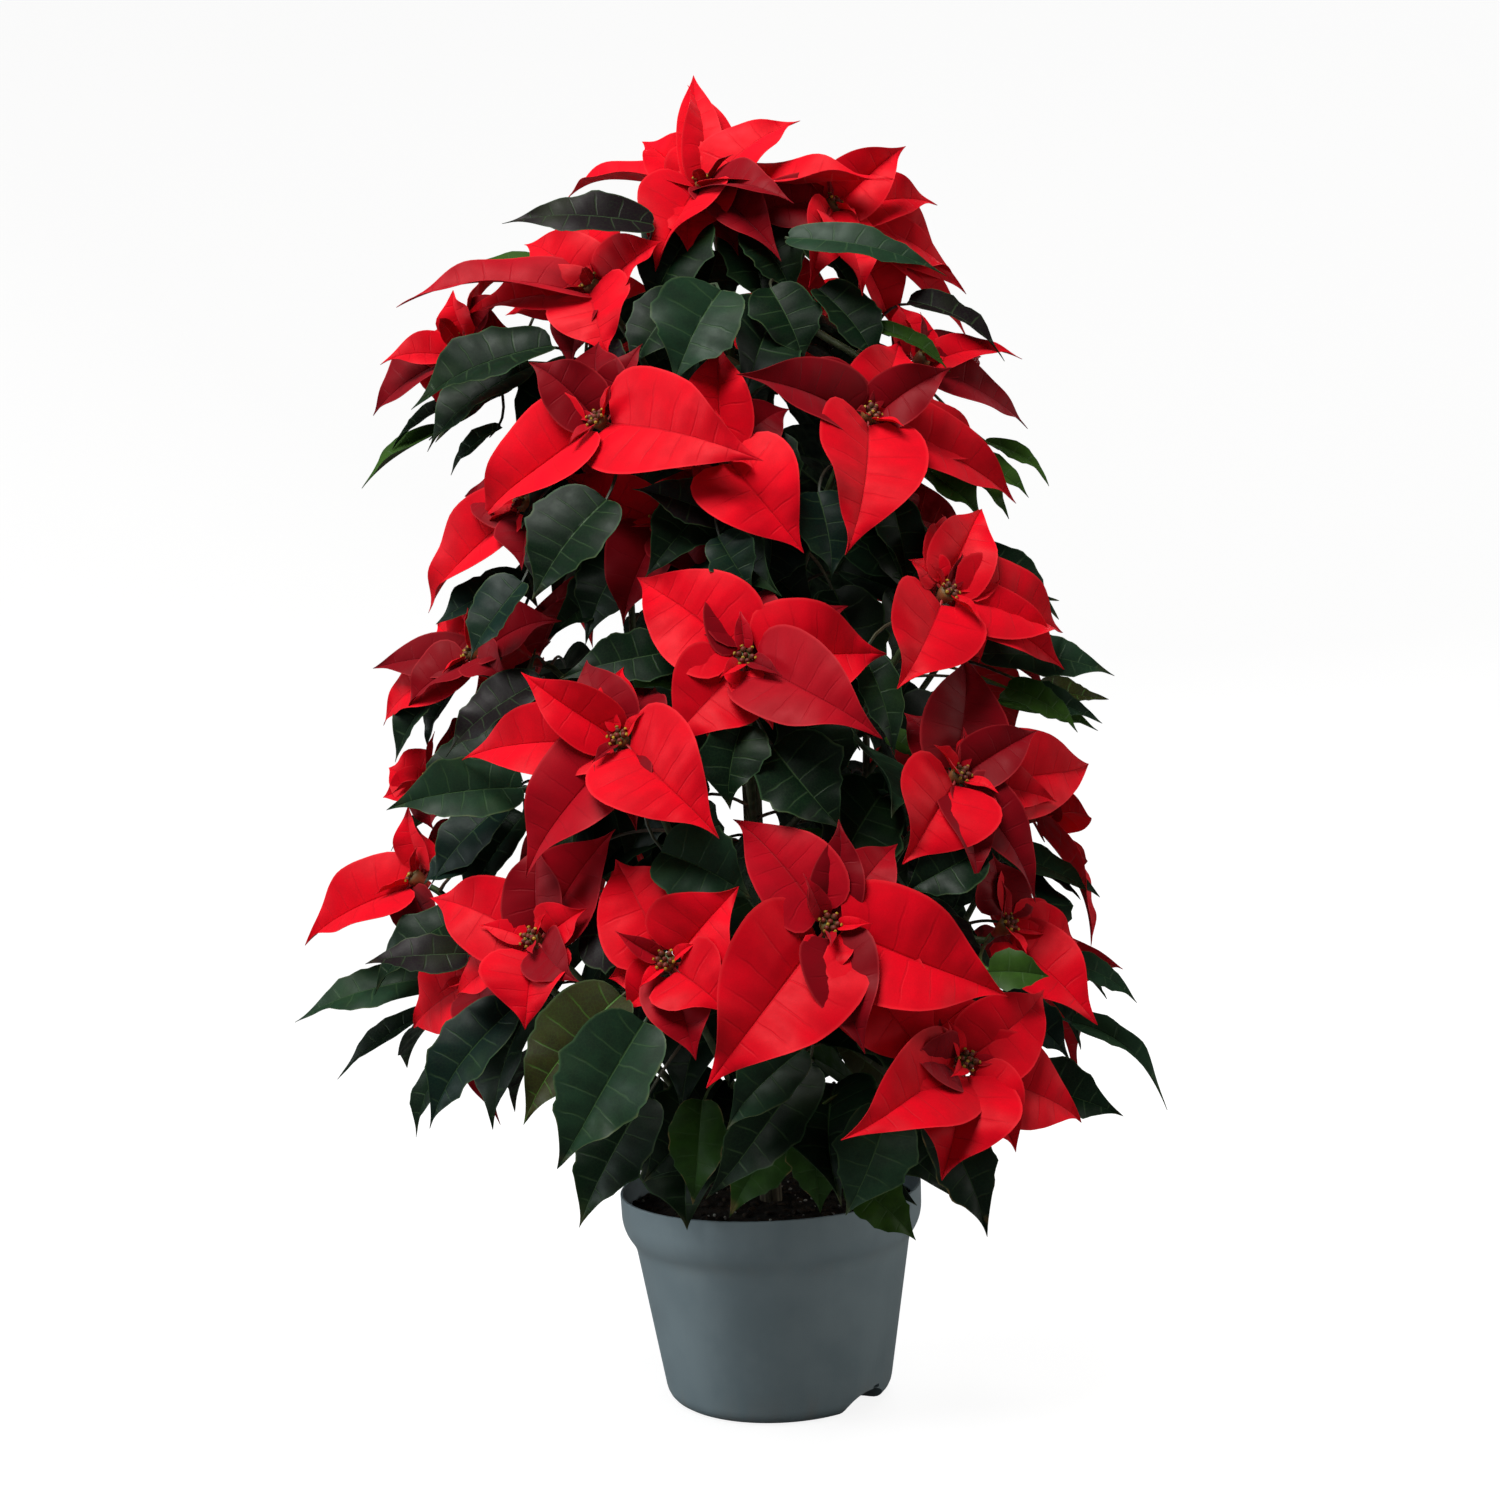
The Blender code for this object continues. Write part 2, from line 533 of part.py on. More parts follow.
class Bloom:
    """A bloom's place, the way it faces and its bracts."""

    def __init__(self, name, across, toward, up, tilt):
        self.name = name
        self.middle = place(across, toward, up)
        outward = Vector((self.middle.x, self.middle.y, 0.0)).normalized()
        tilt = math.radians(tilt)
        self.axis = outward * math.cos(tilt) + Vector((0.0, 0.0, math.sin(tilt)))
        self.foot = self.middle - self.axis * CORE_BELOW
        self.wanted = []
        self.blades = []

    def front_bract(self, clock, length, width):
        """A bract seen from the front: its depth is what lays it in the bloom's own plane."""
        angle = math.tau * clock / 12
        x = length * CM * math.sin(angle)
        z = length * CM * math.cos(angle)
        depth = -(x * self.axis.x + z * self.axis.z + 0.12 * length * CM) / min(self.axis.y, -0.12)
        limit = 0.55 * length * CM
        depth = max(-limit, min(limit, depth)) * min(1.0, abs(self.axis.y) / 0.4)
        face = (self.axis + Vector((0.0, -FACE_TO_FRONT, 0.0))).normalized()
        self.wanted.append((Vector((x, depth, z)), width * CM, face))

    def own_bract(self, turn, length, width, sink):
        """A bract given by its turn round the bloom's axis."""
        level = Vector((0.0, 0.0, 1.0)).cross(self.axis).normalized()
        upright = self.axis.cross(level)
        way = level * math.cos(turn) + upright * math.sin(turn) - self.axis * sink
        self.wanted.append((way.normalized() * length, width, self.axis))

    def fill_behind(self, dice):
        """Adds bracts in the gaps that the front view doesn't show, so the bloom is whole."""
        level = Vector((0.0, 0.0, 1.0)).cross(self.axis).normalized()
        upright = self.axis.cross(level)
        taken = [math.atan2(run.dot(upright), run.dot(level)) for run, width, face in self.wanted]
        for step in range(12):
            turn = math.tau * step / 12
            way = level * math.cos(turn) + upright * math.sin(turn)
            near = min(abs(math.remainder(turn - other, math.tau)) for other in taken)
            if way.y > 0.25 and near > math.radians(38):
                self.own_bract(turn, dice.uniform(*HIDDEN_LENGTH), dice.uniform(*HIDDEN_WIDTH), 0.15)
                taken.append(turn)


class Shoot:
    """A side shoot: its stems, which fork to its blooms, and its leaves."""

    def __init__(self, name, blooms):
        self.name = name
        self.blooms = blooms
        self.stems = []
        self.blades = []
        self.start = 0.0


def bow(start, first, last, end, count):
    """Points of a cubic curve."""
    points = []
    for index in range(count + 1):
        t = index / count
        s = 1 - t
        points.append(start * s ** 3 + first * 3 * s * s * t + last * 3 * s * t * t + end * t ** 3)
    return points


def plan_front(dice):
    """The shoots and blooms that are set by hand."""
    shoots = []
    for name, rows in FRONT_SHOOTS:
        blooms = []
        for index, (across, toward, up, tilt, bracts) in enumerate(rows):
            bloom = Bloom(f"bloom_{name}" + ("" if index == 0 else "_second"), across, toward, up, tilt)
            for clock, length, width in bracts:
                bloom.front_bract(clock, length, width)
            bloom.fill_behind(dice)
            blooms.append(bloom)
        shoots.append(Shoot(f"shoot_{name}", blooms))
    return shoots


def plan_back(dice):
    """The shoots and blooms of the far side, whose bracts stand round by a rule."""
    shoots = []
    number = 0
    for places in BACK_SHOOTS:
        blooms = []
        for degrees, height in places:
            number += 1
            angle = math.radians(degrees)
            radius = outline_radius(height) * dice.uniform(0.92, 1.0)
            tilt = BACK_TILT + dice.uniform(-8, 12)
            bloom = Bloom(f"bloom_back_{number:02d}", radius * math.cos(angle), -radius * math.sin(angle),
                          height, tilt)
            turn = dice.uniform(0, math.tau)
            for bract in range(BACK_BRACTS):
                length, sink = BACK_LENGTHS[bract % 2]
                length *= dice.uniform(0.88, 1.08)
                bloom.own_bract(turn, length, BACK_BREADTH * length, sink)
                turn += math.tau / BACK_BRACTS + dice.uniform(-0.12, 0.12)
            blooms.append(bloom)
        shoots.append(Shoot(f"shoot_back_{len(shoots) + 1}", blooms))
    return shoots


def stem_radii(count):
    """A shoot's radius along it, a little slimmer toward the bloom."""
    return [SHOOT_RADIUS * (1.15 - 0.3 * i / (count - 1)) for i in range(count)]


def grow_stems(shoots, space):
    """Leads each shoot from the main stem to the foot of its blooms, clear of the other shoots."""
    side = [s for s in shoots if s.name != "shoot_top"]
    for shoot in side:
        first = shoot.blooms[0].middle
        radius = math.hypot(first.x, first.y)
        shoot.start = max(SHOOT_LOWEST, first.z - 0.8 * radius - 0.03)
    side.sort(key=lambda s: s.start)
    for lower, upper in zip(side, side[1:]):
        upper.start = max(upper.start, lower.start + SHOOT_SPACING)
    limit = TRUNK_TOP - 0.02
    for upper in reversed(side):
        upper.start = min(upper.start, limit)
        limit = upper.start - SHOOT_SPACING
    for shoot in shoots:
        for index, bloom in enumerate(shoot.blooms):
            shoot.stems.append(free_stem(shoot, index, bloom, space))


def free_stem(shoot, index, bloom, space):
    """The first of several bows that crosses nothing. Both ends are straight, so their faces sit true."""
    end = bloom.foot - bloom.axis * GAP
    neck = end - bloom.axis * STEM_END
    if shoot.name == "shoot_top":
        start = Vector((0.0, 0.0, TRUNK_TOP + GAP))
        outward = Vector((0.0, 0.0, 1.0))
    elif index == 0:
        outward = Vector((end.x, end.y, 0.0)).normalized()
        start = Vector((0.0, 0.0, shoot.start)) + outward * (trunk_radius(shoot.start) + GAP)
    else:
        fork = shoot.stems[0]
        outward = (fork[3] - fork[2]).normalized()
        start = fork[2].lerp(fork[3], 0.4)
    count = 3 if index == 0 else 2
    cross = (end - start).cross(Vector((0.0, 0.0, 1.0))).normalized()
    for lift in (0.0, -0.02, 0.02, -0.04, 0.04, -0.06, 0.06):
        for sway in (0.0, 0.02, -0.02, 0.04, -0.04, 0.06, -0.06):
            bend = cross * sway + Vector((0.0, 0.0, lift))
            away = start + outward * STEM_END
            points = [start] + bow(away, away + outward * STEM_PULL + bend * 0.4,
                                   neck - bloom.axis * STEM_PULL + bend, neck, count) + [end]
            verts, faces = prism(points, [radius + CLEAR for radius in stem_radii(len(points))])
            blocked = space.crosses(verts, faces, lambda owner, kind: owner not in (shoot.name, bloom.name))
            if not blocked:
                space.add(shoot.name, "stem", verts, faces)
                return points
    print("no free way for", shoot.name, index)
    return points


def core_shape(bloom, grow=0.0):
    """The core of a bloom, a small closed barrel that carries the bracts and ends in the buds."""
    points = [bloom.foot, bloom.middle + bloom.axis * 0.001, bloom.middle + bloom.axis * (CORE_ABOVE + grow)]
    return prism(points, [CORE_FOOT_RADIUS + grow, CORE_RADIUS + grow, CORE_TOP_RADIUS + grow], CORE_SIDES)


def bract_variants(bloom, run, width, face, order):
    """The bract as wanted, then turned, lifted and shortened more and more."""
    way = run.normalized()
    for scale in (1.0, 0.92, 0.84, 0.76, 0.68):
        for swing in (0.0, 0.1, -0.1, 0.2, -0.2):
            for lift in (0.0, 0.1, -0.1, 0.2, -0.2, 0.32, -0.32, 0.45, -0.45):
                turned_way = (Matrix.Rotation(swing, 3, bloom.axis) @ way + face * lift).normalized()
                around = (turned_way - bloom.axis * turned_way.dot(bloom.axis)).normalized()
                root = bloom.middle - bloom.axis * (0.0025 * (order % 3) + 0.001)
                base = root + around * (0.8 * BRACT_START) + turned_way * (0.2 * BRACT_START)
                tip = bloom.middle + turned_way * run.length * scale
                yield Blade(root, base, tip, face, width * (0.5 + 0.5 * scale),
                                BRACT_ARCH, BRACT_FOLD, True)


def grow_bract(bloom, run, width, face, order, space):
    """Places one bract, clear of its bloom's other bracts where there is room."""
    for crowded in (False, True):
        for blade in bract_variants(bloom, run, width, face, order):
            if space.take(bloom.name, blade, crowded):
                bloom.blades.append(blade)
                return
    print("no room for a bract of", bloom.name, order)


def grow_bloom(bloom, space):
    """Places the bracts of one bloom, each clear of what stands round it."""
    for order, (run, width, face) in enumerate(bloom.wanted):
        grow_bract(bloom, run, width, face, order, space)


def leaf_variants(roots, base, run, lean, width, skew):
    """The leaf as wanted from each root, then turned and shortened more and more."""
    outward = Vector((base.x, base.y, 0.0)).normalized()
    face = (outward + Vector((0.0, 0.0, 0.75)) + lean).normalized()
    for scale in (1.0, 0.9, 0.8, 0.7):
        for shift in (0.0, -0.012, 0.012, -0.024, -0.036):
            for swing in (0.0, 0.12, -0.12, 0.25, -0.25):
                way = Matrix.Rotation(swing, 3, outward) @ run
                moved = base + outward * shift
                tip = moved + way * scale
                for spot in roots:
                    yield spot, Blade(spot[1], moved, tip, face, width * (0.5 + 0.5 * scale),
                                      LEAF_ARCH, LEAF_FOLD, False, skew)


def stem_spots(shoots):
    """The places on the stems where a leaf can grow, as (shoot, point)."""
    spots = []
    for shoot in shoots:
        for points in shoot.stems:
            for index in range(len(points) - 1):
                for share in (0.1, 0.37, 0.63, 0.9):
                    if index + share > 0.8:
                        spots.append((shoot, points[index].lerp(points[index + 1], share)))
    return spots


def grow_leaf(spots, used, base, run, lean, width, skew, space):
    """Places one leaf on the first free spot and in the first pose that is clear."""
    near = [spot for spot in sorted(spots, key=lambda s: (s[1] - base).length) if tuple(spot[1]) not in used]
    for spot, blade in leaf_variants(near[:5], base, run, lean, width, skew):
        shoot, point = spot
        if space.take(shoot.name, blade):
            shoot.blades.append(blade)
            used.add(tuple(point))
            return True
    return False


def grow_front_leaves(spots, used, space, dice):
    """The leaves set by hand."""
    for across, toward, up, clock, length, width in FRONT_LEAVES:
        base = place(across, toward, up)
        angle = math.tau * clock / 12
        outward = Vector((base.x, base.y, 0.0)).normalized()
        run = Vector((math.sin(angle), 0.0, math.cos(angle))) * length * CM + outward * 0.22 * length * CM
        lean = Vector((0.0, -LEAN_TO_FRONT, 0.0))
        if not grow_leaf(spots, used, base, run, lean, width * CM, dice.uniform(-SKEW, SKEW), space):
            print("no room for the leaf at", across, toward, up)


def grow_more_leaves(spots, used, space, dice):
    """Leaves set in a spiral up every stem, kept inside the outline on the front."""
    turn = 0.0
    for shoot, point in spots:
        turn += LEAF_TURN
        if tuple(point) in used:
            continue
        outward = Vector((point.x, point.y, 0.0)).normalized()
        level = Vector((-outward.y, outward.x, 0.0))
        way = outward * (0.45 + 0.55 * math.cos(turn)) + level * math.sin(turn)
        flat = Vector((way.x, way.y, 0.0)).normalized()
        rise = Vector((0.0, 0.0, dice.uniform(0.0, 0.4)))
        base = point + (flat + rise).normalized() * dice.uniform(0.03, 0.05)
        length = dice.uniform(0.085, 0.125)
        run = (flat + Vector((0.0, 0.0, -dice.uniform(0.45, 1.0)))).normalized() * length
        tip = base + run
        room = outline_radius(tip.z / CM) * CM + (0.02 if tip.y < 0 else 0.07)
        if math.hypot(tip.x, tip.y) > room or tip.z < 0.10:
            continue
        if dice.random() < MORE_LEAVES:
            lean = level * dice.uniform(-LEAN_TO_FRONT, LEAN_TO_FRONT)
            width = LEAF_BREADTH * length
            grow_leaf([(shoot, point)], used, base, run, lean, width, dice.uniform(-SKEW, SKEW), space)


def bodies_of(shape):
    """The faces of each surface that hangs together by its edges, the largest first."""
    left = set(shape.faces)
    bodies = []
    while left:
        body = [left.pop()]
        for face in body:
            for edge in face.edges:
                for other in edge.link_faces:
                    if other in left:
                        left.remove(other)
                        body.append(other)
        bodies.append(body)
    bodies.sort(key=len, reverse=True)
    return bodies


def joined(name, first, others, home):
    """Fuses the others into the first with one Boolean union on their collection.

    Sealed hollows are filled and loose scraps dropped, so that one closed surface is left.
    """
    union = first.modifiers.new("grown_together", "BOOLEAN")
    union.operation = "UNION"
    union.operand_type = "COLLECTION"
    union.collection = others
    for solver, merge in (("EXACT", 0.00001), ("EXACT", 0.0000001), ("MANIFOLD", 0.0000001)):
        union.solver = solver
        shape = shape_of(first, merge)
        spare = [face for body in bodies_of(shape)[1:] for face in body]
        bmesh.ops.delete(shape, geom=spare, context="FACES")
        if all(edge.is_manifold for edge in shape.edges):
            break
        print(name, "isn't closed with", solver, merge)
    whole = baked(first, name, home, shape)
    for thing in list(others.objects):
        bpy.data.objects.remove(thing, do_unlink=True)
    return whole


def build_bloom(bloom, home, parts, red):
    """The bloom's core and bracts, as one piece."""
    verts, faces = core_shape(bloom)
    core = mesh_object("core", verts, faces, home)
    for blade in bloom.blades:
        verts, faces = blade.shell()
        mesh_object("bract", verts, faces, parts)
    whole = joined(bloom.name, core, parts, home)
    whole.data.materials.append(red)
    return whole


def build_shoot(shoot, home, parts, green):
    """The shoot's stems and leaves, as one piece."""
    stems = []
    for index, points in enumerate(shoot.stems):
        stems.append(tube("stem", points, stem_radii(len(points)), 0, home if index == 0 else parts))
    for blade in shoot.blades:
        verts, faces = blade.shell()
        mesh_object("leaf", verts, faces, parts)
    whole = joined(shoot.name, stems[0], parts, home)
    whole.data.materials.append(green)
    return whole


def smooth(thing, angle):
    """Shades round pieces smooth, with sharp edges kept."""
    thing.data.shade_smooth()
    thing.data.set_sharp_from_angle(angle=math.radians(angle))


clear_scene()
plant = collection("potted_poinsettia")
cutters = collection("cutters")
parts = collection("parts_to_join")
plastic = principled("pot_plastic", (0.10, 0.125, 0.135), 0.55)
earth = principled("potting_soil", (0.012, 0.009, 0.007), 0.95)
bark = principled("woody_stem", (0.12, 0.10, 0.06), 0.8)
green = principled("leaf_green", (0.018, 0.055, 0.025), 0.5)
red = principled("bract_red", (0.75, 0.004, 0.012), 0.45)

pot = make_pot(plant, cutters)
pot.data.materials.append(plastic)
smooth(pot, 35)
soil = make_soil(plant, cutters)
soil.data.materials.append(earth)
smooth(soil, 35)
trunk = make_trunk(plant)
trunk.data.materials.append(bark)
smooth(trunk, 40)

dice = random.Random(SEED)
room = Space()
trunk_line = [Vector((0.0, 0.0, TRUNK_FOOT)), Vector((0.0, 0.0, TRUNK_TOP))]
room.add("main_stem", "stem", *prism(trunk_line, [TRUNK_RADIUS * 0.97, TRUNK_TIP_RADIUS * 0.97], 12))
soil_line = [Vector((0.0, 0.0, 0.01)), Vector((0.0, 0.0, SOIL_TOP + SOIL_CROWN))]
room.add("potting_soil", "stem", *prism(soil_line, [0.07, RIM_RADIUS - 0.002], 24))
rim_line = [Vector((0.0, 0.0, 0.005)), Vector((0.0, 0.0, RIM_HEIGHT + 0.001))]
room.add("pot", "stem", *prism(rim_line, [FOOT_RADIUS, RIM_RADIUS + 0.001], 24))

shoots = plan_front(dice) + plan_back(dice)
blooms = [bloom for shoot in shoots for bloom in shoot.blooms]
for bloom in blooms:
    room.add(bloom.name, "core", *core_shape(bloom, CLEAR))
grow_stems(shoots, room)
for bloom in blooms:
    grow_bloom(bloom, room)
spots = stem_spots(shoots)
used = set()
grow_front_leaves(spots, used, room, dice)
grow_more_leaves(spots, used, room, dice)
for shoot in shoots:
    build_shoot(shoot, plant, parts, green)
for bloom in blooms:
    build_bloom(bloom, plant, parts, red)
bpy.data.collections.remove(parts)
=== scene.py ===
"""The looks of a potted poinsettia trained as a pyramid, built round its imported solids.

Metres, +Z up. The origin is the middle of the pot's flat underside, and the front faces -Y. Places
on the plant are written in centimetres as across (+X), toward the viewer (-Y) and up (+Z). Shoots,
leaves and bracts lie where the solids have them, so their rules and random draws are the solids' own.
"""
import math
import random

import bmesh
import bpy
import numpy as np
from mathutils import Matrix, Vector, noise
from mathutils.bvhtree import BVHTree


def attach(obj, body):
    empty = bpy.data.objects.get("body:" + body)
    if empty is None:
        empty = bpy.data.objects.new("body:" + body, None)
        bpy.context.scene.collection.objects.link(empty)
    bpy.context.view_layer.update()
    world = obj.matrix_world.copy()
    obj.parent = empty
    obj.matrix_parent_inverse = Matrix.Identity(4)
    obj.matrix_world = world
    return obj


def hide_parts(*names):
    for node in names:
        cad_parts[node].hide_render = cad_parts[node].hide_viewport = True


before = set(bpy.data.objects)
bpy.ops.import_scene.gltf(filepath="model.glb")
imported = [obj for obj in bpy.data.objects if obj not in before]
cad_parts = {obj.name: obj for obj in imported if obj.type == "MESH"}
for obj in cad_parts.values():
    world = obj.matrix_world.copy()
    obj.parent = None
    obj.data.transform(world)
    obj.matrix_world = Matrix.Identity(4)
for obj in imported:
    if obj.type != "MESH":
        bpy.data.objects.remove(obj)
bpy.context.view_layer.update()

# The pot.
# One shell of grey plastic, moulded with a deep lip that stiffens the rim and a rounded foot. A drain
# notch with a slit above it is moulded into the right of the front, and five holes into the floor.
RIM_RADIUS = 0.115
RIM_HEIGHT = 0.156
LIP_HEIGHT = 0.030
LIP_STEP = 0.009
LIP_FOOT = RIM_HEIGHT - LIP_HEIGHT
SHOULDER = LIP_FOOT - LIP_STEP                    # where the lip's step meets the body
BODY_TOP_RADIUS = 0.1048
BODY_FOOT_RADIUS = 0.0855
FOOT_ROUND = 0.007
FOOT_EASE = 0.011
EASE_STEPS = 6                                    # points on each eased corner
POT_WALL = 0.0022
POT_FLOOR = 2 * POT_WALL
LIP_INSIDE = RIM_RADIUS - 2.0 * POT_WALL
POT_STEPS = 128
NOTCH = math.radians(-41)                         # angles run from the plant's right, toward its back
NOTCH_HALF = Vector((0.040, 0.0235, 0.0140))      # outward, sideways and up
SLIT = math.radians(-35)
SLIT_HALF = (0.018, 0.0040, 0.0013)
SLIT_HEIGHT = 0.0142
HOLES = (26, 86, 146, 206, 266)                   # degrees
HOLE_HALF = (0.0085, 0.0050, 0.010)
HOLE_RADIUS = 0.062
POT_GREY = (0.195, 0.262, 0.290)
POT_PALE = (0.265, 0.338, 0.368)
POT_DUST = (0.26, 0.25, 0.22)


def linked(name, data):
    """A new object that stands in the scene."""
    made = bpy.data.objects.new(name, data)
    bpy.context.scene.collection.objects.link(made)
    return made


def turned(name, profile, steps):
    """Turns a profile of (radius, height) round the Z axis."""
    mesh = bpy.data.meshes.new(name)
    lines = [(index, index + 1) for index in range(len(profile) - 1)]
    mesh.from_pydata([(radius, 0.0, height) for radius, height in profile], lines, [])
    made = linked(name, mesh)
    screw = made.modifiers.new("turn", "SCREW")
    screw.steps = steps
    screw.render_steps = steps
    screw.use_merge_vertices = True
    screw.merge_threshold = 0.00005
    return made


def applied(made, sharp):
    """Keeps what the modifiers give as a plain mesh, shaded smooth below the sharp angle."""
    bpy.context.view_layer.update()
    seen = made.evaluated_get(bpy.context.evaluated_depsgraph_get())
    made.data = bpy.data.meshes.new_from_object(seen)
    made.modifiers.clear()
    made.data.name = made.name
    made.data.shade_smooth()
    made.data.set_sharp_from_angle(angle=math.radians(sharp))
    return made


def eased(corners):
    """A profile of (radius, height, ease), with each corner drawn as a curve that starts at its ease."""
    points = []
    for index, (radius, height, ease) in enumerate(corners):
        here = Vector((radius, height))
        if ease == 0:
            points.append(here)
            continue
        start = here + (Vector(corners[index - 1][:2]) - here).normalized() * ease
        end = here + (Vector(corners[index + 1][:2]) - here).normalized() * ease
        for step in range(EASE_STEPS + 1):
            t = step / EASE_STEPS
            points.append(start.lerp(here, t).lerp(here.lerp(end, t), t))
    return points


def add_node(tree, kind, inputs=None, **settings):
    """Adds a shader node. Each input is a socket that feeds it, or its value."""
    made = tree.nodes.new("ShaderNode" + kind)
    for key, value in settings.items():
        setattr(made, key, value)
    for key, value in (inputs or {}).items():
        if isinstance(value, bpy.types.NodeSocket):
            tree.links.new(value, made.inputs[key])
        else:
            made.inputs[key].default_value = value
    return made


def maths(tree, operation, *values):
    """One step of arithmetic."""
    inputs = dict(enumerate(values))
    return add_node(tree, "Math", inputs, operation=operation).outputs[0]


def span(tree, value, low, high, to_low=0.0, to_high=1.0):
    """The value's place between low and high, eased and kept within its ends."""
    inputs = {0: value, 1: low, 2: high, 3: to_low, 4: to_high}
    return add_node(tree, "MapRange", inputs, interpolation_type="SMOOTHSTEP").outputs[0]


def blend(tree, factor, first, second):
    """Two colours mixed."""
    first = (*first, 1.0) if isinstance(first, tuple) else first
    second = (*second, 1.0) if isinstance(second, tuple) else second
    inputs = {0: factor, 6: first, 7: second}
    return add_node(tree, "Mix", inputs, data_type="RGBA").outputs[2]


def noise_of(tree, place, scale, detail=3.0):
    """A soft random pattern of the given scale."""
    return add_node(tree, "TexNoise", {"Vector": place, "Scale": scale, "Detail": detail}).outputs["Fac"]


def node_group(name, takes, gives):
    """An empty group of shader nodes, with its inputs (name, kind, value) and outputs (name, kind)."""
    group = bpy.data.node_groups.new(name, "ShaderNodeTree")
    for label, kind, value in takes:
        socket = group.interface.new_socket(label, in_out="INPUT", socket_type="NodeSocket" + kind)
        if value is not None:
            socket.default_value = value
    for label, kind in gives:
        group.interface.new_socket(label, in_out="OUTPUT", socket_type="NodeSocket" + kind)
    return group, group.nodes.new("NodeGroupInput").outputs, group.nodes.new("NodeGroupOutput").inputs


def new_material(name, specular):
    """A material, its node tree, its shader and the place of the surface in the part's frame."""
    made = bpy.data.materials.new(name)
    made.use_nodes = True
    tree = made.node_tree
    shader = tree.nodes["Principled BSDF"]
    shader.inputs["Specular IOR Level"].default_value = specular
    return made, tree, shader, add_node(tree, "TexCoord").outputs["Object"]


def finish_with(tree, shader, colour, roughness, height, strength, depth):
    """Feeds a material's shader its colour, roughness and relief."""
    tree.links.new(colour, shader.inputs["Base Color"])
    tree.links.new(roughness, shader.inputs["Roughness"])
    bump = add_node(tree, "Bump", {"Height": height, "Strength": strength, "Distance": depth})
    tree.links.new(bump.outputs[0], shader.inputs["Normal"])


def placed(tree, group, inputs):
    """Places a node group and feeds it."""
    return add_node(tree, "Group", inputs, node_tree=group).outputs


def make_grain():
    """Uneven tone and fine grain, as on moulded plastic, soil and bark."""
    group, takes, gives = node_group(
        "uneven_grain",
        (("Place", "Vector", None), ("Patches", "Float", 20.0), ("Grain", "Float", 900.0)),
        (("Tone", "Float"), ("Specks", "Float"), ("Height", "Float")))
    patches = noise_of(group, takes["Place"], takes["Patches"], 4.0)
    grain = noise_of(group, takes["Place"], takes["Grain"], 2.0)
    group.links.new(span(group, patches, 0.32, 0.68), gives["Tone"])
    group.links.new(span(group, grain, 0.66, 0.74), gives["Specks"])
    group.links.new(maths(group, "MULTIPLY_ADD", patches, 0.4, grain), gives["Height"])
    return group


def make_plastic(grain):
    """Matte grey plastic, a little uneven, with dust that gathers at the foot and under the lip."""
    made, tree, shader, place = new_material("grey_pot_plastic", 0.4)
    uneven = placed(tree, grain, {"Place": place, "Patches": 26.0, "Grain": 1500.0})
    drag = add_node(tree, "Mapping", {"Vector": place, "Scale": (60.0, 60.0, 5.0)})
    streaks = noise_of(tree, drag.outputs[0], 1.0, 3.0)
    height = add_node(tree, "SeparateXYZ", {0: place}).outputs["Z"]
    low = span(tree, height, 0.030, 0.002)
    under = maths(tree, "MULTIPLY", span(tree, height, SHOULDER - 0.012, SHOULDER + 0.002),
                  span(tree, height, SHOULDER + 0.012, SHOULDER + 0.002))
    dust = maths(tree, "MULTIPLY", maths(tree, "MAXIMUM", low, maths(tree, "MULTIPLY", under, 0.4)),
                 span(tree, streaks, 0.40, 0.75, 0.0, 0.5))
    tone = maths(tree, "MULTIPLY_ADD", streaks, 0.5, maths(tree, "MULTIPLY", uneven["Tone"], 0.5))
    colour = blend(tree, tone, POT_GREY, POT_PALE)
    colour = blend(tree, dust, colour, POT_DUST)
    colour = blend(tree, maths(tree, "MULTIPLY", uneven["Specks"], 0.25), colour, POT_DUST)
    rough = span(tree, uneven["Tone"], 0.0, 1.0, 0.46, 0.60)
    finish_with(tree, shader, colour, rough, uneven["Height"], 0.25, 0.0004)
    return made


def wall_radius(height):
    """The pot's outer radius under its lip."""
    share = (height - FOOT_ROUND) / (SHOULDER - FOOT_ROUND)
    return BODY_FOOT_RADIUS + (BODY_TOP_RADIUS - BODY_FOOT_RADIUS) * share


def round_tool(angle, radius, half):
    """A rounded body on the floor at an angle, of the given half sizes (outward, sideways, up)."""
    bpy.ops.mesh.primitive_uv_sphere_add(segments=48, ring_count=24, radius=1.0)
    return stand(bpy.context.object, angle, radius, 0.0, half)


def square_tool(angle, radius, height, half):
    """A small block with eased edges at an angle, of the given half sizes (outward, sideways, up)."""
    bpy.ops.mesh.primitive_cube_add(size=2.0)
    made = stand(bpy.context.object, angle, radius, height, half)
    soft = made.modifiers.new("soft_ends", "BEVEL")
    soft.width = 0.45 * min(half)
    soft.segments = 3
    return made


def stand(made, angle, radius, height, half):
    """Sizes a tool and turns it to its place."""
    for vertex in made.data.vertices:
        vertex.co = Vector(half) * vertex.co
    made.location = (radius * math.cos(angle), radius * math.sin(angle), height)
    made.rotation_euler.z = angle
    return made


def combine(made, operation, tool):
    """One boolean step, worked out when the piece is applied."""
    step = made.modifiers.new("shape", "BOOLEAN")
    step.operation = operation
    step.object = tool
    return tool


def remove(tools):
    """Clears tools away that have done their work."""
    for tool in tools:
        bpy.data.objects.remove(tool, do_unlink=True)


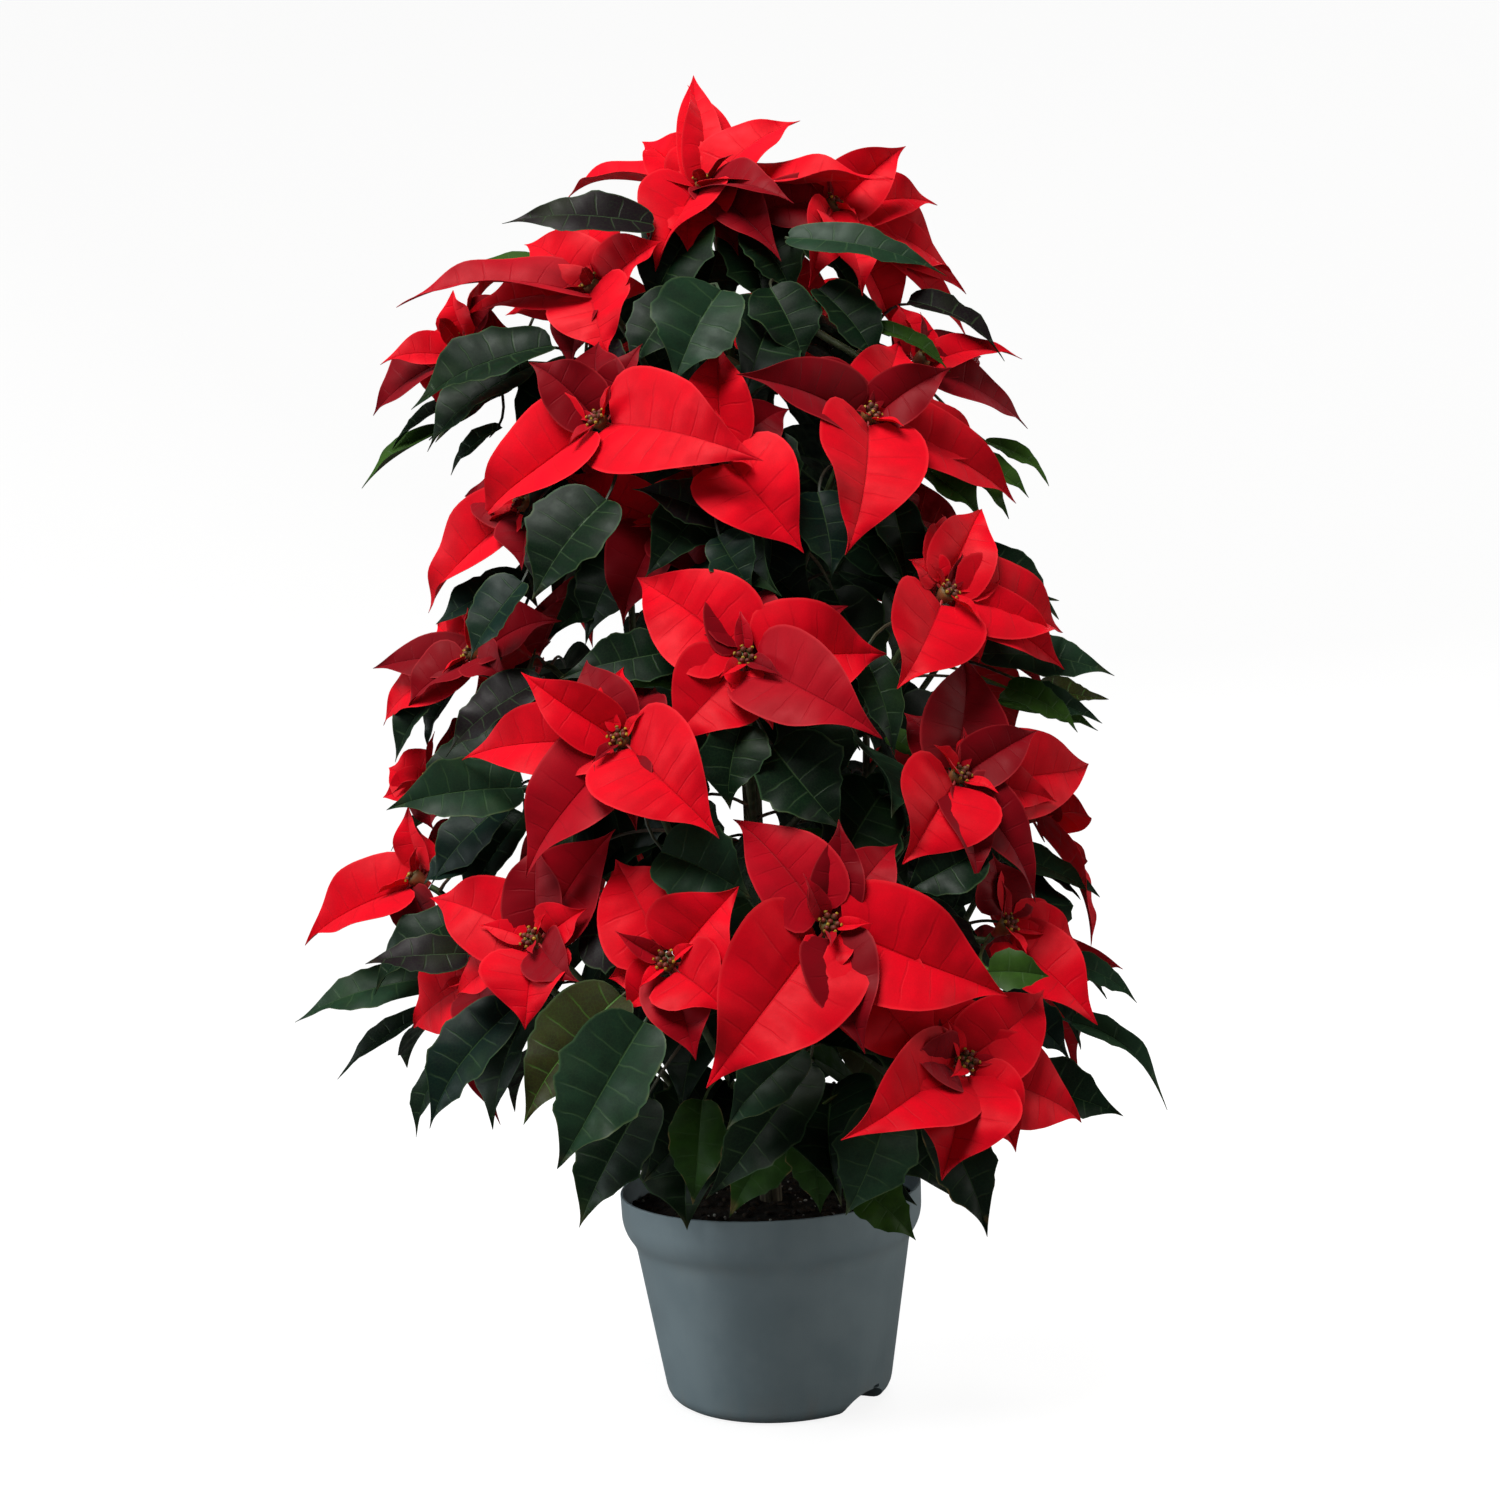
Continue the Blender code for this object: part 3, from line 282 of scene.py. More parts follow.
def make_pot(plastic):
    """The pot's shell, with its eased lip, foot and rim, its drain notch, slit and holes."""
    pot = turned("grey_pot", eased((
        (0.0, POT_FLOOR, 0),
        (BODY_FOOT_RADIUS - 2.5 * POT_WALL, POT_FLOOR, 0.004),
        (wall_radius(SHOULDER) - POT_WALL, SHOULDER, 0.006),
        (LIP_INSIDE, LIP_FOOT + 0.002, 0.006),
        (RIM_RADIUS - 1.05 * POT_WALL, RIM_HEIGHT, 0.0007),
        (RIM_RADIUS, RIM_HEIGHT, 0.0008),
        (RIM_RADIUS - 0.35 * POT_WALL, LIP_FOOT + 0.004, 0.010),
        (wall_radius(SHOULDER), SHOULDER, 0.0055),
        (BODY_FOOT_RADIUS - 0.001, 0.0, FOOT_EASE),
        (0.0, 0.0, 0),
    )), POT_STEPS)
    inset = 0.0003
    body = turned("inside_of_body", eased((
        (0.0, inset, 0),
        (BODY_FOOT_RADIUS - 0.001 - inset, inset, FOOT_EASE),
        (wall_radius(0.05) - inset, 0.05, 0),
        (0.0, 0.05, 0),
    )), POT_STEPS)
    boss = round_tool(NOTCH, BODY_FOOT_RADIUS, NOTCH_HALF + Vector((POT_WALL, POT_WALL, POT_WALL)))
    combine(boss, "INTERSECT", body)
    combine(pot, "UNION", boss)
    tools = [body, boss, combine(pot, "DIFFERENCE", round_tool(NOTCH, BODY_FOOT_RADIUS, NOTCH_HALF))]
    slit = square_tool(SLIT, BODY_FOOT_RADIUS, SLIT_HEIGHT, SLIT_HALF)
    tools.append(combine(pot, "DIFFERENCE", slit))
    for degrees in HOLES:
        hole = square_tool(math.radians(degrees), HOLE_RADIUS, 0.0, HOLE_HALF)
        tools.append(combine(pot, "DIFFERENCE", hole))
    applied(pot, 35)
    remove(tools)
    pot.data.materials.clear()
    pot.data.materials.append(plastic)
    return pot


def settle(piece, node):
    """Puts a piece on the root body and hides the solid that it stands for."""
    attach(piece, "root")
    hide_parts(node)


grain = make_grain()
settle(make_pot(make_plastic(grain)), "pot")

# The potting soil.
# Dark peat that fills the pot to a finger's breadth under the rim, heaped a little round the stem,
# with crumbs of peat and bark and a few white grains of perlite pressed into its top.
GAP = 0.0003                                      # between the soil and what it touches
SOIL_TOP = 0.140
SOIL_CROWN = 0.004
TRUNK_FOOT = 0.060
TRUNK_RADIUS = 0.009
SOIL_RINGS = 60
PEAT_BLACK = (0.006, 0.005, 0.004)
PEAT_BROWN = (0.030, 0.021, 0.014)
BARK_BROWN = (0.055, 0.036, 0.022)
PERLITE_GREY = (0.38, 0.36, 0.32)
PERLITE_WHITE = (0.62, 0.60, 0.55)
PEAT_CRUMBS = 260
PEAT_SIZES = (0.0010, 0.0032)
PERLITE_GRAINS = 70
PERLITE_SIZES = (0.0006, 0.0015)


def soil_level(radius):
    """The height of the soil's top, before its crumbs, at a distance from the stem."""
    share = min(1.0, radius / (RIM_RADIUS - POT_WALL))
    return SOIL_TOP + SOIL_CROWN * (1 - share ** 4)


def crumbs(x, y):
    """How far the soil's crumbs stand out at a place."""
    coarse = noise.noise(Vector((x, y, 0.3)) * 70)
    middle = noise.noise(Vector((x, y, 0.7)) * 210)
    fine = noise.noise(Vector((x, y, 0.1)) * 620)
    return 0.0012 * coarse + 0.0015 * abs(middle) + 0.0008 * fine


def make_soil(material):
    """The soil as one closed body, with a plain hole that the main stem stands in."""
    floor = POT_FLOOR + GAP
    hole = TRUNK_RADIUS + 2 * GAP
    share = (SOIL_TOP - RIM_HEIGHT + LIP_HEIGHT) / LIP_HEIGHT
    top_radius = RIM_RADIUS - (2.0 - 0.9 * share) * POT_WALL - 4 * GAP
    profile = [(0.0, TRUNK_FOOT - GAP), (hole, TRUNK_FOOT - GAP)]
    for ring in range(SOIL_RINGS + 1):
        radius = hole + (top_radius - hole) * ring / SOIL_RINGS
        profile.append((radius, soil_level(radius)))
    profile += [
        (LIP_INSIDE - 5 * GAP, LIP_FOOT + 0.002),
        (wall_radius(SHOULDER) - POT_WALL - 3 * GAP, SHOULDER - GAP),
        (BODY_FOOT_RADIUS - 2.5 * POT_WALL - 4 * GAP, floor + 0.002),
        (BODY_FOOT_RADIUS - 2.5 * POT_WALL - 8 * GAP, floor),
        (0.0, floor),
    ]
    soil = turned("peat", profile, POT_STEPS)
    clear = POT_WALL + 2 * GAP
    tool = combine(soil, "DIFFERENCE",
                   round_tool(NOTCH, BODY_FOOT_RADIUS, NOTCH_HALF + Vector((clear, clear, clear))))
    applied(soil, 60)
    remove([tool])
    soil.data.materials.clear()
    for vertex in soil.data.vertices:
        x, y, z = vertex.co
        if z > SOIL_TOP - 0.001:
            vertex.co.z += crumbs(x, y) * min(1.0, (top_radius + 0.002 - math.hypot(x, y)) / 0.004)
    soil.data.materials.append(material)
    return soil


def make_grit(name, material, count, sizes, flatness, seed):
    """Small uneven lumps pressed into the soil's top."""
    dice = random.Random(seed)
    shape = bmesh.new()
    for index in range(count):
        radius = math.sqrt(dice.uniform(0.02, 0.86)) * RIM_RADIUS
        angle = dice.uniform(0, math.tau)
        x = radius * math.cos(angle)
        y = radius * math.sin(angle)
        size = dice.uniform(*sizes)
        lump = bmesh.ops.create_icosphere(shape, subdivisions=2, radius=size)["verts"]
        turn = Matrix.Rotation(dice.uniform(0, math.tau), 3, "Z")
        tip = Matrix.Rotation(dice.uniform(-0.5, 0.5), 3, "X")
        for vertex in lump:
            uneven = 1 + 0.35 * noise.noise(vertex.co * 0.9 / size + Vector((index, 0, 0)))
            flat = Vector((vertex.co.x * 1.25, vertex.co.y * 0.8, vertex.co.z * flatness)) * uneven
            vertex.co = turn @ (tip @ flat) + Vector((x, y, soil_level(radius) + 0.0012))
    mesh = bpy.data.meshes.new(name)
    shape.to_mesh(mesh)
    shape.free()
    mesh.shade_smooth()
    mesh.materials.append(material)
    return linked(name, mesh)


def make_crumbly(name, dark, light, grain_scale, roughness):
    """A dry, crumbly finish that changes from dark to light."""
    made, tree, shader, place = new_material(name, 0.25)
    uneven = placed(tree, grain, {"Place": place, "Patches": 190.0, "Grain": grain_scale})
    colour = blend(tree, uneven["Tone"], dark, light)
    colour = blend(tree, maths(tree, "MULTIPLY", uneven["Specks"], 0.5), colour, light)
    rough = span(tree, uneven["Tone"], 0.0, 1.0, roughness, 1.0)
    finish_with(tree, shader, colour, rough, uneven["Height"], 0.8, 0.0012)
    return made


peat = make_crumbly("peat_soil", PEAT_BLACK, PEAT_BROWN, 1500.0, 0.85)
settle(make_soil(peat), "potting_soil")
bark_crumb = make_crumbly("bark_crumb", PEAT_BLACK, BARK_BROWN, 1100.0, 0.8)
peat_lumps = make_grit("peat_crumbs", bark_crumb, PEAT_CRUMBS, PEAT_SIZES, 0.6, 3)
settle(peat_lumps, "potting_soil")
white_grain = make_crumbly("perlite_grain", PERLITE_GREY, PERLITE_WHITE, 2400.0, 0.7)
white_lumps = make_grit("perlite", white_grain, PERLITE_GRAINS, PERLITE_SIZES, 0.85, 4)
settle(white_lumps, "potting_soil")

# The main stem.
# The plant's own woody stem, straight and slowly tapered, with thin ridged bark and a few knots.
# It stands in a plain hole in the soil, and the side shoots grow out of it.
TRUNK_TOP = 0.780
TRUNK_TIP_RADIUS = 0.006
TRUNK_RINGS = 150
TRUNK_SIDES = 20
BARK_DARK = (0.055, 0.045, 0.028)
BARK_PALE = (0.155, 0.130, 0.085)
BARK_GREEN = (0.060, 0.085, 0.030)


def trunk_radius(height):
    """The main stem's radius at a height."""
    share = (height - TRUNK_FOOT) / (TRUNK_TOP - TRUNK_FOOT)
    return TRUNK_RADIUS + (TRUNK_TIP_RADIUS - TRUNK_RADIUS) * share


def make_trunk(material):
    """The stem as a turned shape, with ridges and knots above the soil."""
    length = TRUNK_TOP - TRUNK_FOOT
    heights = [TRUNK_TOP - length * index / TRUNK_RINGS for index in range(TRUNK_RINGS + 1)]
    profile = [(0.0, TRUNK_TOP)] + [(trunk_radius(z), z) for z in heights] + [(0.0, TRUNK_FOOT)]
    trunk = applied(turned("woody_main_stem", profile, TRUNK_SIDES), 60)
    for vertex in trunk.data.vertices:
        x, y, z = vertex.co
        ridges = noise.noise(Vector((x * 260, y * 260, z * 24)))
        knots = max(0.0, noise.noise(Vector((x * 60, y * 60, z * 34))) - 0.25)
        swell = 1 + (0.05 * ridges + 0.28 * knots) * (z > SOIL_TOP + 0.008) * (z < TRUNK_TOP - 0.002)
        vertex.co.x *= swell
        vertex.co.y *= swell
    trunk.data.materials.append(material)
    return trunk


def make_bark():
    """Thin bark with upright ridges, greener toward the top."""
    made, tree, shader, place = new_material("stem_bark", 0.3)
    uneven = placed(tree, grain, {"Place": place, "Patches": 55.0, "Grain": 1300.0})
    drawn = add_node(tree, "Mapping", {"Vector": place, "Scale": (420.0, 420.0, 30.0)})
    ridges = noise_of(tree, drawn.outputs[0], 1.0, 3.0)
    height = add_node(tree, "SeparateXYZ", {0: place}).outputs["Z"]
    colour = blend(tree, span(tree, ridges, 0.35, 0.65), BARK_DARK, BARK_PALE)
    patchy = span(tree, uneven["Tone"], 0.0, 1.0, 0.3, 0.9)
    green = maths(tree, "MULTIPLY", span(tree, height, 0.25, 0.75), patchy)
    colour = blend(tree, green, colour, BARK_GREEN)
    rough = span(tree, ridges, 0.3, 0.7, 0.9, 0.7)
    relief = maths(tree, "MULTIPLY_ADD", uneven["Height"], 0.4, ridges)
    finish_with(tree, shader, colour, rough, relief, 0.7, 0.0010)
    return made


settle(make_trunk(make_bark()), "main_stem")

# How the side shoots, leaves and blooms lie.
# Side shoots leave the main stem at successive heights and end under their blooms. Each leaf grows
# from a shoot by its own stalk. A blade that would cross another shoot or bloom is bent clear of it.
CM = 0.01
CLEAR = 0.0003                                    # the room that is kept round a blade
SOLID_FOOT_RADIUS = 0.080                         # the solid pot's, which the solids' blades keep clear of
SHOOT_RADIUS = 0.0028
SHOOT_LOWEST = 0.185
SHOOT_SPACING = 0.012
STEM_END = 0.009
STEM_PULL = 0.04
CORE_BELOW = 0.012
CORE_ABOVE = 0.009
CORE_FOOT_RADIUS = 0.004
CORE_RADIUS = 0.0075
CORE_TOP_RADIUS = 0.0045
CORE_SIDES = 6
BRACT_START = 0.010
BRACT_ARCH = 0.07
BRACT_FOLD = math.radians(13)
LEAF_ARCH = 0.06
LEAF_FOLD = math.radians(9)
LEAF_BREADTH = 0.6
SKEW = 0.12
BLADE_THICK = 0.0016
STALK_THICK = 0.0028
STALK_HALF = 0.0014

# Sections of a solid blade, which its room is tested with: how far along it, half-width as a share
# of the blade's, and how far the edge lies back toward the base.
BROAD = 0.066
BRACT_BROAD = ((0.13, 0.72, 0.07), (0.40, 1.0, 0.02), (0.72, 0.50, 0.0))
BRACT_NARROW = ((0.30, 1.0, 0.08), (0.68, 0.58, 0.0))
LEAF_BROAD = ((0.12, 0.70, 0.07), (0.44, 1.0, 0.0), (0.76, 0.50, 0.0))
LEAF_NARROW = ((0.30, 1.0, 0.10), (0.66, 0.66, 0.0))

# The shoots of the front half. A shoot has one or two blooms: across, toward, up, how far the face
# tips up in degrees, and the bracts. A bract is its clock hour seen from the front, length and width.
# Then come, as far as they aren't plain: its red, whose dull and dark are partly painted shade, the degrees
# that it is rolled round its own length, how far its tip curves to its side as a share of its length, and
# how high it arches.
FRONT_SHOOTS = (
    ("top", (
        (-1.5, 3, 91.5, 65, ((7.0, 8, 7.5), (9.3, 12.5, 5.5, "bright", 26, 0.17),
                             (3.1, 14, 6.5, "bright", -22, 0.08, -0.01), (12.0, 9, 5, "bright", 30, -0.12),
                             (0.6, 7, 7), (10.5, 6.5, 6), (2.2, 7.5, 6, "bright", 0, 0.20),
                             (4.7, 9, 5, "dark"))),)),
    ("upper_left", (
        (-10, 6, 83.5, 45, ((5.7, 6, 7), (10.4, 7, 6), (2.1, 6, 6), (8.6, 13, 5.5, "dull", 22, -0.05),
                            (11.9, 9.5, 6))),
        (-20.5, 2, 80.5, 35, ((7.9, 8.5, 6, "dark"), (9.4, 4, 4.5), (6.6, 5.5, 6), (2.5, 4, 5, "dull"))))),
    ("upper_right", (
        (8, 4.5, 89, 38, ((3.8, 10.5, 8.5), (1.7, 6.5, 5.5), (4.8, 11.5, 6.5), (6.6, 7, 4.5))),
        (14, 6, 77, 35, ((4.0, 9.5, 4.5, "dark"), (2.4, 8, 4.5, "dark"), (11.5, 5, 4.5))))),
    ("left_middle", (
        (-9.5, 12, 72.5, 30, ((7.7, 11.5, 8, "bright", 6, 0.2), (3.7, 12, 8.5), (0.0, 6, 6, "dark"),
                              (10.5, 6, 5, "dark"))),
        (-15.5, 8, 67.5, 30, ((7.6, 11.5, 6.5, "bright", 0, 0.08), (9.5, 5, 5, "dark"),
                              (6.0, 5, 5, "dark"))))),
    ("right_middle", (
        (9.5, 12, 72, 30, ((6.4, 10.5, 8.5), (3.9, 12.5, 6), (3.4, 11.5, 5.5), (0.8, 6.5, 6),
                           (10.4, 7.5, 4.5, "dark"), (9.5, 9.5, 6, "dark"))),
        (-1, 14, 69.5, 25, ((4.8, 9, 8), (1.8, 6, 5, "dark"), (6.5, 4, 4, "dark"))))),
    ("left_lower", (
        (-20, 6, 57, 35, ((8.0, 9, 6), (10.0, 5.5, 6), (2.4, 7, 5.5, "dark"), (7.2, 6, 5, "dark"))),
        (-24, 3, 48, 35, ((9.6, 4, 5), (8.4, 4, 4), (6.0, 4, 4, "dark"))))),
    ("centre", (
        (0, 19, 55, 25, ((3.0, 9.5, 8), (10.3, 9.5, 8), (7.5, 7.5, 7), (4.2, 11, 7, "dull"),
                         (0.1, 7, 6, "dark"), (2.1, 8, 5, "dark"), (6.3, 3, 3))),
        (-5.5, 10, 65.5, 25, ((6.8, 8, 6, "dark"), (4.9, 6, 5, "dark"))))),
    ("right", (
        (14, 15, 59, 30, ((3.6, 9.5, 7), (7.0, 7.5, 7.5), (1.0, 7.5, 7), (10.6, 3.5, 3.5), (4.4, 6, 5))),)),
    ("right_lower", (
        (14, 17, 46.5, 30, ((7.2, 7, 8), (0.3, 8.5, 7, "dark"), (3.3, 12, 7, "bright", 0, -0.2),
                            (5.0, 10, 4.5, "dark"), (3.9, 7, 4), (11.0, 6, 5, "dark"))),
        (17, 15, 36, 30, ((3.6, 6, 5), (3.0, 5.5, 4), (5.0, 9, 6), (11.9, 5, 5, "dark"))))),
    ("left_centre", (
        (-8.5, 20, 50, 30, ((4.5, 9, 8.5), (8.9, 11.5, 6), (9.5, 7.5, 5.5), (11.2, 6, 5, "dark"),
                            (0.7, 5.5, 5, "dark"), (7.3, 11, 7, "dull"))),)),
    ("low_left", (
        (-15, 19, 37, 30, ((9.7, 8, 6), (6.2, 5.5, 7), (1.3, 9, 6.5, "dull"), (0.4, 6, 5, "dark"))),)),
    ("far_left_low", (
        (-25.5, 3, 40.5, 35, ((8.1, 10, 7), (11.7, 4, 4), (0.5, 4, 4), (5.5, 5, 5, "dark"))),
        (-20, 12, 34, 30, ((7.8, 6.5, 6), (5.4, 4, 5, "dark"), (10.0, 4, 5, "dark"))))),
    ("low_centre_left", (
        (-6, 23, 35.5, 30, ((11.1, 7.5, 7), (1.8, 6.5, 7), (2.9, 5, 5), (4.3, 5, 6), (9.3, 3, 4),
                            (7.5, 4, 4))),)),
    ("low_centre", (
        (4.5, 24, 37.5, 28, ((3.8, 12.5, 8.5), (6.3, 3.5, 3.5), (7.4, 12, 9.5), (10.7, 9, 6.5, "dull"),
                             (1.5, 7, 5, "dull"), (4.7, 12.5, 7.5))),)),
    ("low_right", (
        (13, 22, 28, 28, ((6.6, 7, 8), (8.4, 10, 7), (4.0, 9.5, 6.5), (1.9, 7, 6), (10.7, 6, 6))),)),
)

# The leaves that show from the front: where the blade starts (across, toward, up), its clock hour,
# length, width and green (pale is partly painted sheen), and how far its tip curves to its side where it
# does.
FRONT_LEAVES = (
    (-6, 8, 87.5, 9.1, 9.5, 3.5, "purple"), (-14.5, -2, 87.5, 8.6, 6, 3, "young"),
    (-13, 7, 79, 8.2, 9.5, 5.5, "dark"), (-11.5, 10, 79, 6.0, 4.5, 3.5, "purple"),
    (-21.5, 0, 76.5, 7.7, 5, 2.5, "dark"), (-22.5, 0, 74.5, 7.6, 6.5, 3, "young", 0.15),
    (-17.5, 3, 74, 7.5, 4.5, 2.5, "dark"), (-0.5, 13, 81, 6.9, 7.5, 6.5, "pale"),
    (-3, 9, 81.5, 7.1, 6.5, 4.5, "dark"), (3, 9, 82, 5.4, 6, 5, "dark"),
    (6.5, 8, 82, 5.1, 7, 4.5, "dark"), (4.5, 9, 85.5, 3.6, 10.5, 3, "pale"),
    (-2.5, 6, 88, 6.9, 7.5, 6, "dark"), (2.5, 6, 88, 5.3, 8, 6.5, "dark"),
    (10.5, 8, 79, 4.4, 5.5, 2, "young"), (19, 1, 71.5, 4.3, 5, 2.5, "young"),
    (15.5, 6, 69.5, 4.8, 5.5, 3.5, "young"), (-2.5, 14, 73.5, 3.9, 6, 3.5, "blue"),
    (1.5, 13, 71, 5.1, 6, 4, "dark"), (11.5, 13, 66, 6.0, 6.5, 4, "dark"),
    (-1, 15, 65, 9.7, 6.5, 3.5, "purple"), (-1.5, 16, 63.5, 5.0, 4.5, 3.5, "blue"),
    (-9, 15, 66.5, 7.1, 8, 6.5, "dark"), (-15.5, 11, 61.5, 7.0, 6, 4.5, "blue"),
    (-14.5, 12, 65, 6.2, 4, 2.5, "purple"), (-4, 15, 56, 8.9, 8.5, 4, "dark"),
    (-14.5, 11, 54.5, 7.7, 7.5, 4, "purple"), (-22, 3, 54.5, 6.6, 4.5, 2.5, "dark"),
    (-16, 13, 47, 8.8, 8, 5, "pale"), (-25.5, 3, 45.5, 7.7, 5, 1.5, "olive"),
    (18.5, 5, 59, 3.1, 4, 3, "dark"), (17, 9, 55, 3.4, 8, 4, "pale"),
    (18.5, 10, 52.5, 4.1, 5, 3, "young", 0.15), (21.5, 5, 52.5, 3.9, 4.5, 2.5, "olive", -0.3),
    (8.5, 18, 55, 5.7, 7, 3, "dark"), (-0.5, 20, 50.5, 6.4, 5.5, 4.5, "dark"),
    (1.5, 20, 49, 5.0, 7, 6, "dark"), (9.5, 14, 49.5, 4.3, 3, 2, "young"),
    (22, 4, 40.5, 4.3, 8.5, 4.5, "pale", -0.2), (15, 19, 41.5, 8.3, 7, 4, "dark"),
    (-20.5, 10, 42, 8.0, 3, 3, "blue"), (-19.5, 11, 35.5, 9.0, 6, 3, "purple"),
    (-24, 3, 33, 8.5, 9.5, 4, "pale"), (-25.5, 0, 30, 7.7, 7.5, 2.5, "dark"),
    (-17, 15, 32, 7.1, 9, 5, "blue"), (-23, 6, 28, 6.5, 6.5, 2.5, "dark"),
    (-9.5, 24, 33.5, 7.3, 9.5, 5.5, "olive"), (-7.5, 25, 32, 7.0, 10, 6.5, "pale"),
    (-8, 18, 26, 6.9, 9, 5, "dark"), (-6.5, 22, 42.5, 4.1, 7, 5.5, "pale"),
    (-12.5, 20, 37, 2.8, 6, 5, "purple"), (2.5, 23, 29.5, 7.7, 7, 4, "pale"),
    (3, 20, 28, 7.4, 11, 4.5, "dark"), (-4.5, 12, 24.5, 6.1, 7, 4, "yellowing"),
    (1.5, 14, 23, 7.3, 7.5, 4, "yellowing"), (3, 16, 23.5, 6.0, 6, 4, "yellowing"),
    (8, 21, 25, 7.0, 7.5, 5, "pale"), (5.5, 15, 19, 4.5, 5.5, 3.5, "young"),
    (11, 18, 24, 5.1, 8, 4.5, "tanned", 0.2), (16.5, 13, 25.5, 3.8, 7.5, 4.5, "dark"),
    (22.5, 4, 32, 3.8, 5, 2.5, "pale", 0.25), (23.5, 1, 27, 4.0, 7, 3, "pale", 0.5),
    (15, 20, 33.5, 3.2, 3.5, 3, "young"),
)

# Bracts and leaves of the front that the solids leave out, in the same form.
SMALL_BRACTS = {
    "bloom_top": ((0.3, 5.5, 7), (11.9, 10.4, 3.8), (6.4, 6.5, 7), (5.2, 6, 4.5, "dark"),
                  (4.2, 8.5, 4.5, "dark")),
    "bloom_upper_left": ((9.1, 8, 5), (8.6, 9.5, 5), (7.0, 6, 4.5, "dark"), (0.3, 4.5, 3, "dark")),
    "bloom_upper_left_second": ((0.3, 4, 4), (8.4, 6, 4), (1.6, 5.5, 4.5, "dark")),
    "bloom_upper_right": ((2.7, 8.5, 5.5), (9.2, 6.5, 5, "dark"), (5.6, 8, 5), (3.9, 12, 4.5, "bright", 20),
                          (4.3, 14.5, 3.5)),
    "bloom_upper_right_second": ((2.6, 7.5, 3.2, "bright", -15, 0.15),),
    "bloom_left_middle": ((9.6, 5.5, 4.5, "dark"), (1.3, 6, 4, "dark")),
    "bloom_right_middle": ((2.2, 6, 4.5, "dark"), (11.7, 5.5, 4)),
    "bloom_left_lower": ((11.2, 5, 4), (8.8, 8, 4, "dark"), (4.2, 5, 4, "dark")),
    "bloom_centre": ((11.3, 6, 4.5, "dark"), (8.9, 6, 4.5, "dark"), (5.4, 5, 4)),
    "bloom_right": ((4.2, 10, 5), (0.5, 8, 5), (0.9, 7.2, 5.5)),
    "bloom_right_lower": ((2.2, 6, 4.5, "dark"), (5.8, 7, 4.5, "dark")),
    "bloom_left_centre": ((10.3, 7, 4.5), (0.0, 5, 3.5), (6.1, 8, 5, "dark")),
    "bloom_low_left": ((11.2, 5, 4, "dark"), (4.3, 5, 4, "dark"), (2.2, 4.5, 4)),
    "bloom_far_left_low": ((0.2, 5.5, 3.5), (9.2, 5, 4, "dark")),
    "bloom_low_centre_left": ((0.4, 7, 5, "dark"), (5.7, 6, 5, "dull"), (8.5, 4, 3.5)),
    "bloom_low_centre": ((0.3, 6, 4, "dark"), (5.6, 8, 5.5, "dark"), (2.8, 6, 4)),
    "bloom_low_right": ((0.2, 5.5, 4.5, "dark"), (5.2, 6.5, 5), (9.4, 5.5, 4.5, "dark")),
}
SMALL_LEAVES = (
    (3.5, 12, 52.5, 5.6, 8.5, 6, "dark"), (11, 8, 60, 6.3, 8, 4.5, "dark"), (9, 8, 66, 5.5, 7, 5, "dark"),
    (-7.2, 8, 64.5, 6.8, 8, 5, "dark"), (-15.3, 6, 53.5, 6.6, 7, 4.5, "purple"),
    (-1.5, 6, 86.5, 6.0, 6.5, 5.5, "dark"), (2, 5, 87.5, 5.2, 7, 5, "dark"),
    (-9, 6, 77, 7.0, 7.5, 5, "dark"), (8, 7, 74, 5.2, 7.5, 5, "blue"),
    (-13.5, 6, 70, 7.5, 8, 5, "dark"), (16.5, 6, 63, 4.6, 7.5, 4.5, "dark"),
    (-18, 6, 62, 8.2, 7, 4.5, "blue"), (6.5, 10, 60, 5.4, 8, 5, "dark"), (-5, 12, 48, 6.8, 8, 5.5, "dark"),
    (8, 12, 44, 5.2, 8, 5, "dark"), (-13, 12, 42, 7.0, 8, 5, "dark"), (-14.8, 5, 78, 7.7, 8.5, 5.5, "dark"),
    (-21, 6, 38, 7.6, 8, 4.5, "dark"), (19, 8, 52.5, 3.9, 6, 3, "pale"),
    (12, 10, 33, 4.8, 8.5, 5, "dark"), (17, 8, 30, 4.6, 6, 4, "blue"),
    (0, 16, 36, 6.0, 8, 5.5, "dark"), (5.5, 14, 66.5, 5.9, 6, 4.5, "blue"), (-15, 2, 84, 8.8, 5, 3, "young"),
    (13.5, 3, 82, 4.0, 7, 3.5, "purple", 0.25), (18, 3, 70, 4.2, 5, 3, "young"),
    (-17.5, 10, 46, 7.3, 7, 4.5, "blue"), (1.5, 13, 53.5, 5.9, 8, 5.5, "dark"),
    (13, 8, 69, 4.6, 5.5, 3.5, "young"), (-12.7, 7, 77.6, 7.3, 7, 5.5, "dark"),
    (18.7, 4, 51.7, 3.8, 6.4, 3, "young"), (23.5, 2, 39.8, 4.4, 7, 3, "dark"),
    (-8, 8, 62, 8.0, 8, 5.5, "dark"), (-16.5, 8, 45, 7.0, 7.5, 5.5, "dark"),
    (-18, 7, 51, 7.4, 7, 4.5, "dark"), (7, 5, 86.5, 5.0, 6.5, 5, "dark"),
    (-20.5, 4, 55.5, 7.0, 7, 4.5, "dark"), (-16.5, 4, 76.8, 7.6, 6, 4, "dark"),
)

